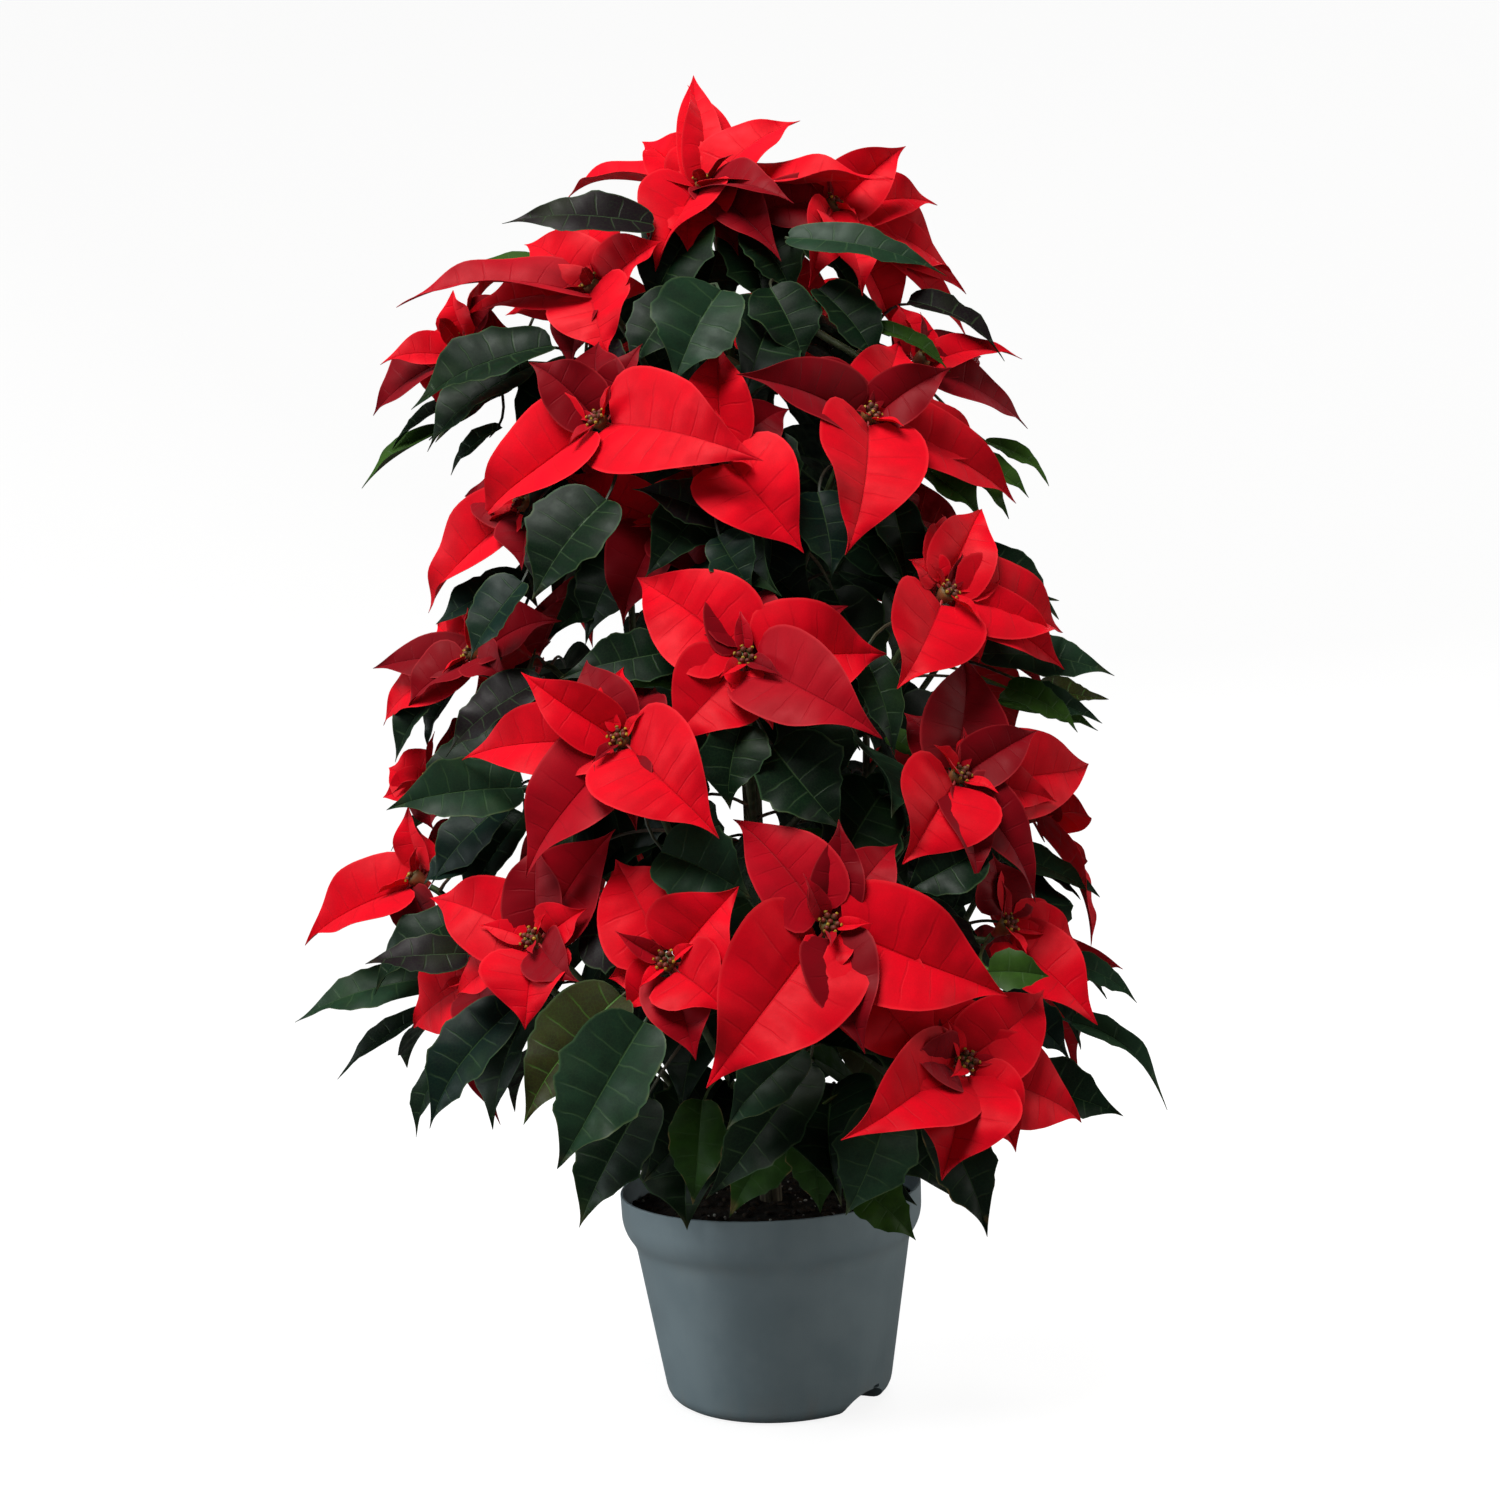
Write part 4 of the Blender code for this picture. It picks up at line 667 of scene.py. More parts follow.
# The far side's shoots: for each bloom the degrees round from the plant's right and the height in
# centimetres. It lies a little inside the plant's outline there, which is given as (height, radius).
OUTLINE = ((0, 24), (25, 24), (34, 25), (46, 21.5), (60, 18.5), (76, 15.5), (91, 6), (100, 2))
BACK_SHOOTS = (
    ((25, 30), (0, 43)), ((90, 29), (57, 42)), ((155, 30), (123, 43)), ((20, 57), (50, 69)),
    ((160, 57), (130, 69)), ((62, 82), (120, 80), (92, 58)),
)
BACK_BRACTS = 6
BACK_TILT = 32
BACK_LENGTHS = ((0.115, 0.18), (0.085, -0.05))   # a bract's length, and how far it leans back
BACK_BREADTH = 0.62
HIDDEN_LENGTH = (0.065, 0.095)                   # of the bracts behind a bloom that is listed one by one
HIDDEN_WIDTH = (0.045, 0.06)
SEED = 12
SMALL_SEED = 31
FACE_TO_FRONT = 0.8
LEAN_TO_FRONT = 0.8
LEAF_TURN = math.radians(137.5)
LEAF_SPOTS = (0.1, 0.37, 0.63, 0.9)              # places for leaves, as shares of each part of a stem
FIRST_SPOT = 0.8                                 # no leaf grows lower than this share of the first part
MORE_LEAVES = 0.23        # the share of the free places on the stems that bear a leaf in the solids
MORE_LOWEST = 0.10
MORE_BEYOND = (0.02, 0.07)                       # how far past the outline they may reach, front and back
INNER_LEAVES = 0.75       # the share of the places still free then that bear one here, inside the plant
INNER_LOWEST = RIM_HEIGHT + 0.075
INNER_BEYOND = (-0.015, 0.03)
BRACT_SCALES = (1.0, 0.92, 0.84, 0.76, 0.68)     # how far a bract is shortened until it is clear
SMALL_SCALES = (1.0, 0.9, 0.75)


def place(across, toward, up):
    """A point on the plant, from centimetres."""
    return Vector((across * CM, -toward * CM, up * CM))


def outward_of(point):
    """The level way from the plant's middle to a point, or of a sloping way."""
    return Vector((point.x, point.y, 0.0)).normalized()


def square_to(way, along):
    """The part of a way that is square to another one."""
    return (way - along * way.dot(along)).normalized()


def way_round(level, upright, turn):
    """The way at a turn round an axis, from two ways square to it."""
    return level * math.cos(turn) + upright * math.sin(turn)


class Blade:
    """One leaf or bract: its stalk starts at root, the blade runs from base to tip."""

    def __init__(self, root, base, tip, face, width, arch, fold, pointed, skew=0.0):
        self.root = root
        self.base = base
        self.tip = tip
        self.face = face
        self.width = width
        self.arch = arch
        self.fold = fold
        self.pointed = pointed
        self.skew = skew
        self.shade = None
        self.roll = 0.0
        self.bend = 0.0

    def sections(self):
        """The blade's sections, for a bract (whose root is a point) or a leaf."""
        if self.pointed:
            return BRACT_BROAD if self.width > BROAD else BRACT_NARROW
        return LEAF_BROAD if self.width > BROAD else LEAF_NARROW

    def rings(self, grow):
        """The four-sided sections (left, top, right, bottom) and the tip, grown by a margin."""
        run = self.tip - self.base
        length = run.length
        along = run.normalized()
        face = square_to(self.face, along)
        side = along.cross(face)
        rings = [self.stalk(self.base, side, face, grow)]
        for share, breadth, back in self.sections():
            bulge = face * (self.arch * length * 4 * share * (1 - share))
            middle = self.base + along * (length * share) + bulge
            reach = 0.5 * self.width * breadth + grow
            rise = face * (reach * math.sin(self.fold)) - along * (length * back)
            flat = side * (reach * math.cos(self.fold))
            deep = 0.5 * BLADE_THICK + grow
            twist = self.skew if share > 0.5 else -self.skew
            rings.append((middle - flat * (1 + twist) + rise, middle + face * deep,
                          middle + flat * (1 - twist) + rise, middle - face * deep))
        return rings, self.tip + along * grow

    def stalk(self, middle, side, face, grow):
        """A three-sided section of the stalk (left, right, bottom)."""
        half = side * (STALK_HALF + grow)
        deep = face * (0.5 * STALK_THICK + grow)
        return (middle - half + deep * 0.5, middle + half + deep * 0.5, middle - deep)

    def shell(self, grow=0.0, with_stalk=True):
        """Points and triangles of the solid blade, split alike on the upper and lower face."""
        rings, tip = self.rings(grow)
        verts = [point for ring in rings for point in ring] + [tip]
        faces = [(0, 1, 4), (0, 4, 3), (1, 5, 4), (1, 2, 6), (1, 6, 5), (2, 0, 3), (2, 3, 6)]
        for index in range(1, len(rings) - 1):
            low = 4 * index - 1
            high = low + 4
            for edge, spine in ((0, 1), (2, 1), (0, 3), (2, 3)):
                one = (low + edge, low + spine, high + spine)
                two = (low + edge, high + spine, high + edge)
                if (edge, spine) in ((2, 1), (0, 3)):
                    one = one[::-1]
                    two = two[::-1]
                faces += [one, two]
        end = len(verts) - 1
        for step in range(4):
            faces.append((end - 4 + step, end - 4 + (step + 1) % 4, end))
        if not with_stalk:
            faces.append((0, 2, 1))
        elif self.pointed:
            verts.append(self.root)
            faces += [(1, 0, end + 1), (2, 1, end + 1), (0, 2, end + 1)]
        else:
            along = (self.base - self.root).normalized()
            face = square_to(self.face, along)
            verts += self.stalk(self.root, along.cross(face), face, grow)
            low = end + 1
            for one, two in ((0, 1), (1, 2), (2, 0)):
                faces += [(low + one, low + two, two), (low + one, two, one)]
            faces.append((low, low + 2, low + 1))
        return verts, faces


def box_of(verts):
    """The lowest and the highest corner of some points."""
    return [min(v[i] for v in verts) for i in range(3)], [max(v[i] for v in verts) for i in range(3)]


class Space:
    """What is already placed, so that the next blade can be bent clear of it."""

    def __init__(self):
        self.things = []

    def crosses(self, verts, faces, wanted):
        """True if the shape crosses a placed thing that is wanted."""
        low, high = box_of(verts)
        tree = None
        for owner, kind, other_low, other_high, other_tree in self.things:
            if not wanted(owner, kind):
                continue
            if any(low[i] > other_high[i] or high[i] < other_low[i] for i in range(3)):
                continue
            if tree is None:
                tree = BVHTree.FromPolygons(verts, faces)
            if tree.overlap(other_tree):
                return True
        return False

    def add(self, owner, kind, verts, faces):
        """Takes up the shape's room."""
        self.things.append((owner, kind, *box_of(verts), BVHTree.FromPolygons(verts, faces)))

    def take(self, name, blade, crowded=False):
        """Places a blade if it is clear of the other shoots and blooms, and of its own one's blades.

        In a crowded bloom it may cross the bloom's other blades, as they are one grown piece.
        """
        verts, faces = blade.shell(CLEAR)
        if self.crosses(verts, faces, lambda owner, kind: owner != name and kind != "blade"):
            return False
        own_verts, own_faces = blade.shell(0.0, False)
        if not crowded and self.crosses(own_verts, own_faces,
                                        lambda owner, kind: owner == name and kind != "whole"):
            return False
        if not blade.pointed and self.crosses(verts, faces,
                                              lambda owner, kind: owner == name and kind == "whole"):
            return False
        self.add(name, "whole", verts, faces)
        self.add(name, "blade", own_verts, own_faces)
        return True


def prism(points, radii, sides=6):
    """A plain tube's points and triangles, to test for room."""
    verts = []
    for index, (point, radius) in enumerate(zip(points, radii)):
        ahead = points[min(index + 1, len(points) - 1)] - points[max(index - 1, 0)]
        turn = ahead.to_track_quat("Z", "Y")
        for step in range(sides):
            angle = math.tau * step / sides
            verts.append(point + turn @ Vector((radius * math.cos(angle), radius * math.sin(angle), 0.0)))
    faces = []
    for ring in range(len(points) - 1):
        for step in range(sides):
            one = ring * sides + step
            two = ring * sides + (step + 1) % sides
            faces += [(one, two, two + sides), (one, two + sides, one + sides)]
    end = (len(points) - 1) * sides
    for step in range(1, sides - 1):
        faces += [(0, step + 1, step), (end, end + step, end + step + 1)]
    return verts, faces


def outline_radius(height):
    """The radius of the plant's outline at a height, both in centimetres."""
    for (low, low_radius), (high, high_radius) in zip(OUTLINE, OUTLINE[1:]):
        if height <= high:
            return low_radius + (high_radius - low_radius) * (height - low) / (high - low)
    return OUTLINE[-1][1]


class Bloom:
    """A bloom's place, the way it faces and its bracts."""

    def __init__(self, name, across, toward, up, tilt):
        self.name = name
        self.middle = place(across, toward, up)
        tilt = math.radians(tilt)
        self.axis = outward_of(self.middle) * math.cos(tilt) + Vector((0.0, 0.0, math.sin(tilt)))
        self.level = Vector((0.0, 0.0, 1.0)).cross(self.axis).normalized()
        self.upright = self.axis.cross(self.level)
        self.foot = self.middle - self.axis * CORE_BELOW
        self.wanted = []
        self.blades = []

    def front_bract(self, clock, length, width, shade="bright", roll=0, bend=0, arch=BRACT_ARCH):
        """A bract seen from the front: its depth is what lays it in the bloom's own plane."""
        angle = math.tau * clock / 12
        x = length * CM * math.sin(angle)
        z = length * CM * math.cos(angle)
        depth = -(x * self.axis.x + z * self.axis.z + 0.12 * length * CM) / min(self.axis.y, -0.12)
        limit = 0.55 * length * CM
        depth = max(-limit, min(limit, depth)) * min(1.0, abs(self.axis.y) / 0.4)
        face = (self.axis + Vector((0.0, -FACE_TO_FRONT, 0.0))).normalized()
        look = (shade, math.radians(roll), bend, arch)
        self.wanted.append((Vector((x, depth, z)), width * CM, face, look))

    def own_bract(self, turn, length, width, sink):
        """A bract given by its turn round the bloom's axis."""
        way = way_round(self.level, self.upright, turn) - self.axis * sink
        self.wanted.append((way.normalized() * length, width, self.axis, (None, 0.0, 0.0, BRACT_ARCH)))

    def fill_behind(self, dice):
        """Adds bracts in the gaps that the front view doesn't show, so the bloom is whole."""
        taken = [math.atan2(run.dot(self.upright), run.dot(self.level)) for run, *rest in self.wanted]
        for step in range(12):
            turn = math.tau * step / 12
            way = way_round(self.level, self.upright, turn)
            near = min(abs(math.remainder(turn - other, math.tau)) for other in taken)
            if way.y > 0.25 and near > math.radians(38):
                self.own_bract(turn, dice.uniform(*HIDDEN_LENGTH), dice.uniform(*HIDDEN_WIDTH), 0.15)
                taken.append(turn)


class Shoot:
    """A side shoot: its stems, which fork to its blooms, and its leaves."""

    def __init__(self, name, blooms):
        self.name = name
        self.blooms = blooms
        self.stems = []
        self.blades = []
        self.start = 0.0


def bow(start, first, last, end, count):
    """Points of a cubic curve."""
    points = []
    for index in range(count + 1):
        t = index / count
        s = 1 - t
        points.append(start * s ** 3 + first * 3 * s * s * t + last * 3 * s * t * t + end * t ** 3)
    return points


def plan_front(dice):
    """The shoots and blooms that are listed one by one."""
    shoots = []
    for name, rows in FRONT_SHOOTS:
        blooms = []
        for index, (across, toward, up, tilt, bracts) in enumerate(rows):
            bloom = Bloom(f"bloom_{name}" + ("" if index == 0 else "_second"), across, toward, up, tilt)
            for bract in bracts:
                bloom.front_bract(*bract)
            bloom.fill_behind(dice)
            blooms.append(bloom)
        shoots.append(Shoot(f"shoot_{name}", blooms))
    return shoots


def plan_back(dice):
    """The shoots and blooms of the far side, whose bracts stand round by a rule."""
    shoots = []
    number = 0
    for places in BACK_SHOOTS:
        blooms = []
        for degrees, height in places:
            number += 1
            angle = math.radians(degrees)
            radius = outline_radius(height) * dice.uniform(0.92, 1.0)
            tilt = BACK_TILT + dice.uniform(-8, 12)
            bloom = Bloom(f"bloom_back_{number:02d}", radius * math.cos(angle), -radius * math.sin(angle),
                          height, tilt)
            turn = dice.uniform(0, math.tau)
            for bract in range(BACK_BRACTS):
                length, sink = BACK_LENGTHS[bract % 2]
                length *= dice.uniform(0.88, 1.08)
                bloom.own_bract(turn, length, BACK_BREADTH * length, sink)
                turn += math.tau / BACK_BRACTS + dice.uniform(-0.12, 0.12)
            blooms.append(bloom)
        shoots.append(Shoot(f"shoot_back_{len(shoots) + 1}", blooms))
    return shoots


def stem_radii(count):
    """A shoot's radius along it, a little slimmer toward the bloom."""
    return [SHOOT_RADIUS * (1.15 - 0.3 * i / (count - 1)) for i in range(count)]


def grow_stems(shoots, space):
    """Leads each shoot from the main stem to the foot of its blooms, clear of the other shoots."""
    side = [s for s in shoots if s.name != "shoot_top"]
    for shoot in side:
        first = shoot.blooms[0].middle
        radius = math.hypot(first.x, first.y)
        shoot.start = max(SHOOT_LOWEST, first.z - 0.8 * radius - 0.03)
    side.sort(key=lambda s: s.start)
    for lower, upper in zip(side, side[1:]):
        upper.start = max(upper.start, lower.start + SHOOT_SPACING)
    limit = TRUNK_TOP - 0.02
    for upper in reversed(side):
        upper.start = min(upper.start, limit)
        limit = upper.start - SHOOT_SPACING
    for shoot in shoots:
        for index, bloom in enumerate(shoot.blooms):
            shoot.stems.append(free_stem(shoot, index, bloom, space))


def free_stem(shoot, index, bloom, space):
    """The first of several bows that crosses nothing. Both ends are straight, so their faces sit true."""
    end = bloom.foot - bloom.axis * GAP
    neck = end - bloom.axis * STEM_END
    if shoot.name == "shoot_top":
        start = Vector((0.0, 0.0, TRUNK_TOP + GAP))
        outward = Vector((0.0, 0.0, 1.0))
    elif index == 0:
        outward = outward_of(end)
        start = Vector((0.0, 0.0, shoot.start)) + outward * (trunk_radius(shoot.start) + GAP)
    else:
        fork = shoot.stems[0]
        outward = (fork[3] - fork[2]).normalized()
        start = fork[2].lerp(fork[3], 0.4)
    count = 3 if index == 0 else 2
    cross = (end - start).cross(Vector((0.0, 0.0, 1.0))).normalized()
    for lift in (0.0, -0.02, 0.02, -0.04, 0.04, -0.06, 0.06):
        for sway in (0.0, 0.02, -0.02, 0.04, -0.04, 0.06, -0.06):
            bend = cross * sway + Vector((0.0, 0.0, lift))
            away = start + outward * STEM_END
            points = [start] + bow(away, away + outward * STEM_PULL + bend * 0.4,
                                   neck - bloom.axis * STEM_PULL + bend, neck, count) + [end]
            verts, faces = prism(points, [radius + CLEAR for radius in stem_radii(len(points))])
            blocked = space.crosses(verts, faces, lambda owner, kind: owner not in (shoot.name, bloom.name))
            if not blocked:
                space.add(shoot.name, "stem", verts, faces)
                return points
    return points


def core_shape(bloom, grow=0.0):
    """The core of a bloom, a small closed barrel that carries the bracts and ends in the buds."""
    points = [bloom.foot, bloom.middle + bloom.axis * 0.001, bloom.middle + bloom.axis * (CORE_ABOVE + grow)]
    return prism(points, [CORE_FOOT_RADIUS + grow, CORE_RADIUS + grow, CORE_TOP_RADIUS + grow], CORE_SIDES)


def bract_variants(bloom, run, width, face, order, scales):
    """The bract as wanted, then turned, lifted and shortened more and more."""
    way = run.normalized()
    for scale in scales:
        for swing in (0.0, 0.1, -0.1, 0.2, -0.2):
            for lift in (0.0, 0.1, -0.1, 0.2, -0.2, 0.32, -0.32, 0.45, -0.45):
                turned_way = (Matrix.Rotation(swing, 3, bloom.axis) @ way + face * lift).normalized()
                around = square_to(turned_way, bloom.axis)
                root = bloom.middle - bloom.axis * (0.0025 * (order % 3) + 0.001)
                base = root + around * (0.8 * BRACT_START) + turned_way * (0.2 * BRACT_START)
                tip = bloom.middle + turned_way * run.length * scale
                yield Blade(root, base, tip, face, width * (0.5 + 0.5 * scale),
                            BRACT_ARCH, BRACT_FOLD, True)


def grow_bract(bloom, order, space, scales):
    """Places one bract, clear of its bloom's other bracts where there is room."""
    run, width, face, look = bloom.wanted[order]
    for crowded in (False, True):
        for blade in bract_variants(bloom, run, width, face, order, scales):
            if space.take(bloom.name, blade, crowded):
                blade.shade, blade.roll, blade.bend, blade.arch = look
                bloom.blades.append(blade)
                return


def leaf_variants(roots, base, run, lean, width, skew):
    """The leaf as wanted from each root, then turned and shortened more and more."""
    outward = outward_of(base)
    face = (outward + Vector((0.0, 0.0, 0.75)) + lean).normalized()
    for scale in (1.0, 0.9, 0.8, 0.7):
        for shift in (0.0, -0.012, 0.012, -0.024, -0.036):
            for swing in (0.0, 0.12, -0.12, 0.25, -0.25):
                way = Matrix.Rotation(swing, 3, outward) @ run
                moved = base + outward * shift
                tip = moved + way * scale
                for spot in roots:
                    yield spot, Blade(spot[1], moved, tip, face, width * (0.5 + 0.5 * scale),
                                      LEAF_ARCH, LEAF_FOLD, False, skew)


def stem_spots(shoots):
    """The places on the stems where a leaf can grow, as (shoot, point)."""
    spots = []
    for shoot in shoots:
        for points in shoot.stems:
            for index in range(len(points) - 1):
                for share in LEAF_SPOTS:
                    if index + share > FIRST_SPOT:
                        spots.append((shoot, points[index].lerp(points[index + 1], share)))
    return spots


def grow_leaf(spots, used, base, run, lean, width, skew, space, shade=None, bend=0.0):
    """Places one leaf on the first free spot and in the first pose that is clear."""
    near = [spot for spot in sorted(spots, key=lambda s: (s[1] - base).length) if tuple(spot[1]) not in used]
    for spot, blade in leaf_variants(near[:5], base, run, lean, width, skew):
        shoot, point = spot
        if space.take(shoot.name, blade):
            blade.shade = shade
            blade.bend = bend
            shoot.blades.append(blade)
            used.add(tuple(point))
            return


def grow_front_leaves(rows, spots, used, space, dice):
    """The leaves that are listed one by one."""
    for across, toward, up, clock, length, width, *look in rows:
        base = place(across, toward, up)
        angle = math.tau * clock / 12
        run = Vector((math.sin(angle), 0.0, math.cos(angle))) * length * CM
        run += outward_of(base) * 0.22 * length * CM
        lean = Vector((0.0, -LEAN_TO_FRONT, 0.0))
        grow_leaf(spots, used, base, run, lean, width * CM, dice.uniform(-SKEW, SKEW), space, *look)


def grow_more_leaves(spots, used, space, dice, wanted, lowest, beyond, shade=None):
    """Leaves set in a spiral up every stem, kept to the outline and a way beyond it, front and back."""
    turn = 0.0
    for shoot, point in spots:
        turn += LEAF_TURN
        if tuple(point) in used:
            continue
        outward = outward_of(point)
        level = Vector((-outward.y, outward.x, 0.0))
        way = outward * (0.45 + 0.55 * math.cos(turn)) + level * math.sin(turn)
        flat = outward_of(way)
        rise = Vector((0.0, 0.0, dice.uniform(0.0, 0.4)))
        base = point + (flat + rise).normalized() * dice.uniform(0.03, 0.05)
        length = dice.uniform(0.085, 0.125)
        run = (flat + Vector((0.0, 0.0, -dice.uniform(0.45, 1.0)))).normalized() * length
        tip = base + run
        limit = outline_radius(tip.z / CM) * CM + beyond[0 if tip.y < 0 else 1]
        if math.hypot(tip.x, tip.y) > limit or tip.z < lowest:
            continue
        if dice.random() < wanted:
            lean = level * dice.uniform(-LEAN_TO_FRONT, LEAN_TO_FRONT)
            skew = dice.uniform(-SKEW, SKEW)
            grow_leaf([(shoot, point)], used, base, run, lean, LEAF_BREADTH * length, skew, space, shade)


dice = random.Random(SEED)
room = Space()
trunk_line = [Vector((0.0, 0.0, TRUNK_FOOT)), Vector((0.0, 0.0, TRUNK_TOP))]
room.add("main_stem", "stem", *prism(trunk_line, [TRUNK_RADIUS * 0.97, TRUNK_TIP_RADIUS * 0.97], 12))
soil_line = [Vector((0.0, 0.0, 0.01)), Vector((0.0, 0.0, SOIL_TOP + SOIL_CROWN))]
room.add("potting_soil", "stem", *prism(soil_line, [0.07, RIM_RADIUS - 0.002], 24))
rim_line = [Vector((0.0, 0.0, 0.005)), Vector((0.0, 0.0, RIM_HEIGHT + 0.001))]
room.add("pot", "stem", *prism(rim_line, [SOLID_FOOT_RADIUS, RIM_RADIUS + 0.001], 24))
shoots = plan_front(dice) + plan_back(dice)
blooms = [bloom for shoot in shoots for bloom in shoot.blooms]
for bloom in blooms:
    room.add(bloom.name, "core", *core_shape(bloom, CLEAR))
grow_stems(shoots, room)
for bloom in blooms:
    for order in range(len(bloom.wanted)):
        grow_bract(bloom, order, room, BRACT_SCALES)
spots = stem_spots(shoots)
used = set()
grow_front_leaves(FRONT_LEAVES, spots, used, room, dice)
grow_more_leaves(spots, used, room, dice, MORE_LEAVES, MORE_LOWEST, MORE_BEYOND)

# The solids' blades end here. The small bracts and leaves, and the leaves inside the plant, come after.
for bloom in blooms:
    for bract in SMALL_BRACTS.get(bloom.name, ()):
        bloom.front_bract(*bract)
        grow_bract(bloom, len(bloom.wanted) - 1, room, SMALL_SCALES)
dice = random.Random(SMALL_SEED)
grow_front_leaves(SMALL_LEAVES, spots, used, room, dice)
# painted shade: the leaves inside the plant all get the one dark 'shaded' green
grow_more_leaves(spots, used, room, dice, INNER_LEAVES, INNER_LOWEST, INNER_BEYOND, "shaded")

# The leafy side shoots.
# Each shoot is one grown piece: green stems, woody toward the main stem, and leaves on thin stalks.
# A leaf is a thin blade, quilted between its side veins, with a few teeth and a raised rib below.
ROWS = ((0.085, 28), (0.045, 20), (0.0, 12))      # a blade's rows from a length up
SHADED_ROWS = 16                                  # for the leaves inside the plant
VEIN_ROWS = 4                                     # rows to each side vein
COLUMNS = np.array((-1.0, -0.78, -0.5, -0.25, -0.05, 0.0, 0.05, 0.25, 0.5, 0.78, 1.0))
VEIN_SHIFT = 0.35                                 # how far one side's veins lie from the other's
TIP_BREADTH = 0.004
SHEET = 0.0004
RIB = 0.0011
LEAF_STALK_RADIUS = 0.0013
STEM_SKIN = 2                                     # the stems' place among a piece's finishes
TURNING = 3                                       # that of a leaf that turns, its veins still green
TURNED_SHADE = "olive"
# A leaf's outline: how far along its rib, the half-width as a share, and how far along the edge lies.
LEAF_EDGE = (
    (0.0, 0.06, 0.0), (0.05, 0.38, -0.02), (0.10, 0.66, 0.02), (0.17, 0.86, 0.10), (0.25, 0.97, 0.21),
    (0.35, 1.0, 0.35), (0.46, 0.94, 0.50), (0.58, 0.77, 0.63), (0.70, 0.52, 0.74), (0.80, 0.30, 0.82),
    (0.88, 0.15, 0.885), (0.94, 0.06, 0.94), (1.0, 0.0, 1.0),
)
# 'pale' is a paler green, partly the leaves' own and partly painted sheen where light falls on their tops
LEAF_GREENS = {
    "dark": (0.0025, 0.012, 0.0045, 0.1), "pale": (0.011, 0.033, 0.016, 0.15),
    "blue": (0.003, 0.014, 0.010, 0.1), "purple": (0.009, 0.005, 0.007, 0.1),
    "young": (0.030, 0.080, 0.009, 0.0), "olive": (0.026, 0.026, 0.006, 0.1),
    "yellowing": (0.020, 0.066, 0.007, 0.9), "tanned": (0.006, 0.019, 0.009, 1.0),
    # 'shaded' is painted shade: the one dark green that every leaf inside the plant gets in place of the
    # mixed greens
    "shaded": (0.004, 0.014, 0.007, 0.0),
}                                                 # red, green, blue, and how dry the tip and rim are
COMMON_GREENS = ("dark",) * 9 + ("pale",) * 3 + ("blue",) * 3 + ("purple",) * 2 + ("young", "olive")
STEM_WOODY = (0.085, 0.070, 0.040, 0.0)
STEM_GREEN = (0.055, 0.110, 0.030, 0.0)
LEAF_STALK = (0.110, 0.060, 0.030, 0.0)
VEIN_GREEN = (0.050, 0.10, 0.035)
YOUNG_VEIN = (0.055, 0.150, 0.020)
WARM_GREEN = (0.03, 0.06, 0.012)
UNDER_GREEN = (0.045, 0.085, 0.045)
BLACK = (0.0, 0.0, 0.0)
# a paler green for a leaf's rim: partly its own colour, partly a painted highlight where light catches the
# edge
RIM_GREEN_AND_HIGHLIGHT = (0.045, 0.105, 0.040)
TAN = (0.26, 0.17, 0.07)


class Form:
    """How a kind of blade is shaped: outline, teeth, quilting, waved edge, fold, droop, sway and twist."""

    def __init__(self, edge, teeth, quilt, wave, fold, droop, sway, twist):
        self.edge = edge
        self.teeth = teeth
        self.quilt = quilt
        self.wave = wave
        self.fold = fold
        self.droop = droop
        self.sway = sway
        self.twist = twist


class Skin:
    """The points, faces and finishes of one piece, gathered blade by blade and stem by stem."""

    def __init__(self):
        self.points = []
        self.faces = []
        self.finish = []
        self.blade = []
        self.tint = []
        self.rim = []
        self.size = 0

    def add(self, points, faces, finish, blade, tint, rim):
        """Adds points with their place on the blade, tint and nearness to its rim, and four-sided faces."""
        count = len(points)
        self.points.append(points)
        self.faces.append(faces + self.size)
        self.finish.append(np.broadcast_to(finish, len(faces)))
        self.blade.append(blade)
        self.tint.append(np.broadcast_to(tint, (count, 4)))
        self.rim.append(np.broadcast_to(rim, count))
        self.size += count

    def piece(self, name, materials):
        """Makes the object."""
        faces = np.concatenate(self.faces).astype(np.int32)
        mesh = bpy.data.meshes.new(name)
        mesh.vertices.add(self.size)
        mesh.vertices.foreach_set("co", np.concatenate(self.points).astype(np.float32).ravel())
        mesh.loops.add(faces.size)
        mesh.loops.foreach_set("vertex_index", faces.ravel())
        mesh.polygons.add(len(faces))
        mesh.polygons.foreach_set("loop_start", np.arange(0, faces.size, 4, dtype=np.int32))
        mesh.polygons.foreach_set("material_index", np.concatenate(self.finish).astype(np.int32))
        mesh.update(calc_edges=True)
        for label, kind, key, rows in (("blade", "FLOAT_VECTOR", "vector", self.blade),
                                       ("tint", "FLOAT_COLOR", "color", self.tint),
                                       ("rim", "FLOAT", "value", self.rim)):
            values = np.concatenate(rows).astype(np.float32).ravel()
            mesh.attributes.new(label, kind, "POINT").data.foreach_set(key, values)
        for material in materials:
            mesh.materials.append(material)
        mesh.shade_smooth()
        mesh.set_sharp_from_angle(angle=math.radians(50))
        return linked(name, mesh)


def eased_edge(edge, rows):
    """The outline's half-width and how far along it lies, at each row, with its corners eased."""
    fine = np.linspace(0.0, 1.0, 4 * rows + 1)
    table = np.array(edge)
    found = []
    for column in (1, 2):
        values = np.interp(fine, table[:, 0], table[:, column])
        for repeat in range(10):
            values[1:-1] = 0.25 * values[:-2] + 0.5 * values[1:-1] + 0.25 * values[2:]
        found.append(values[::4, None])
    return found


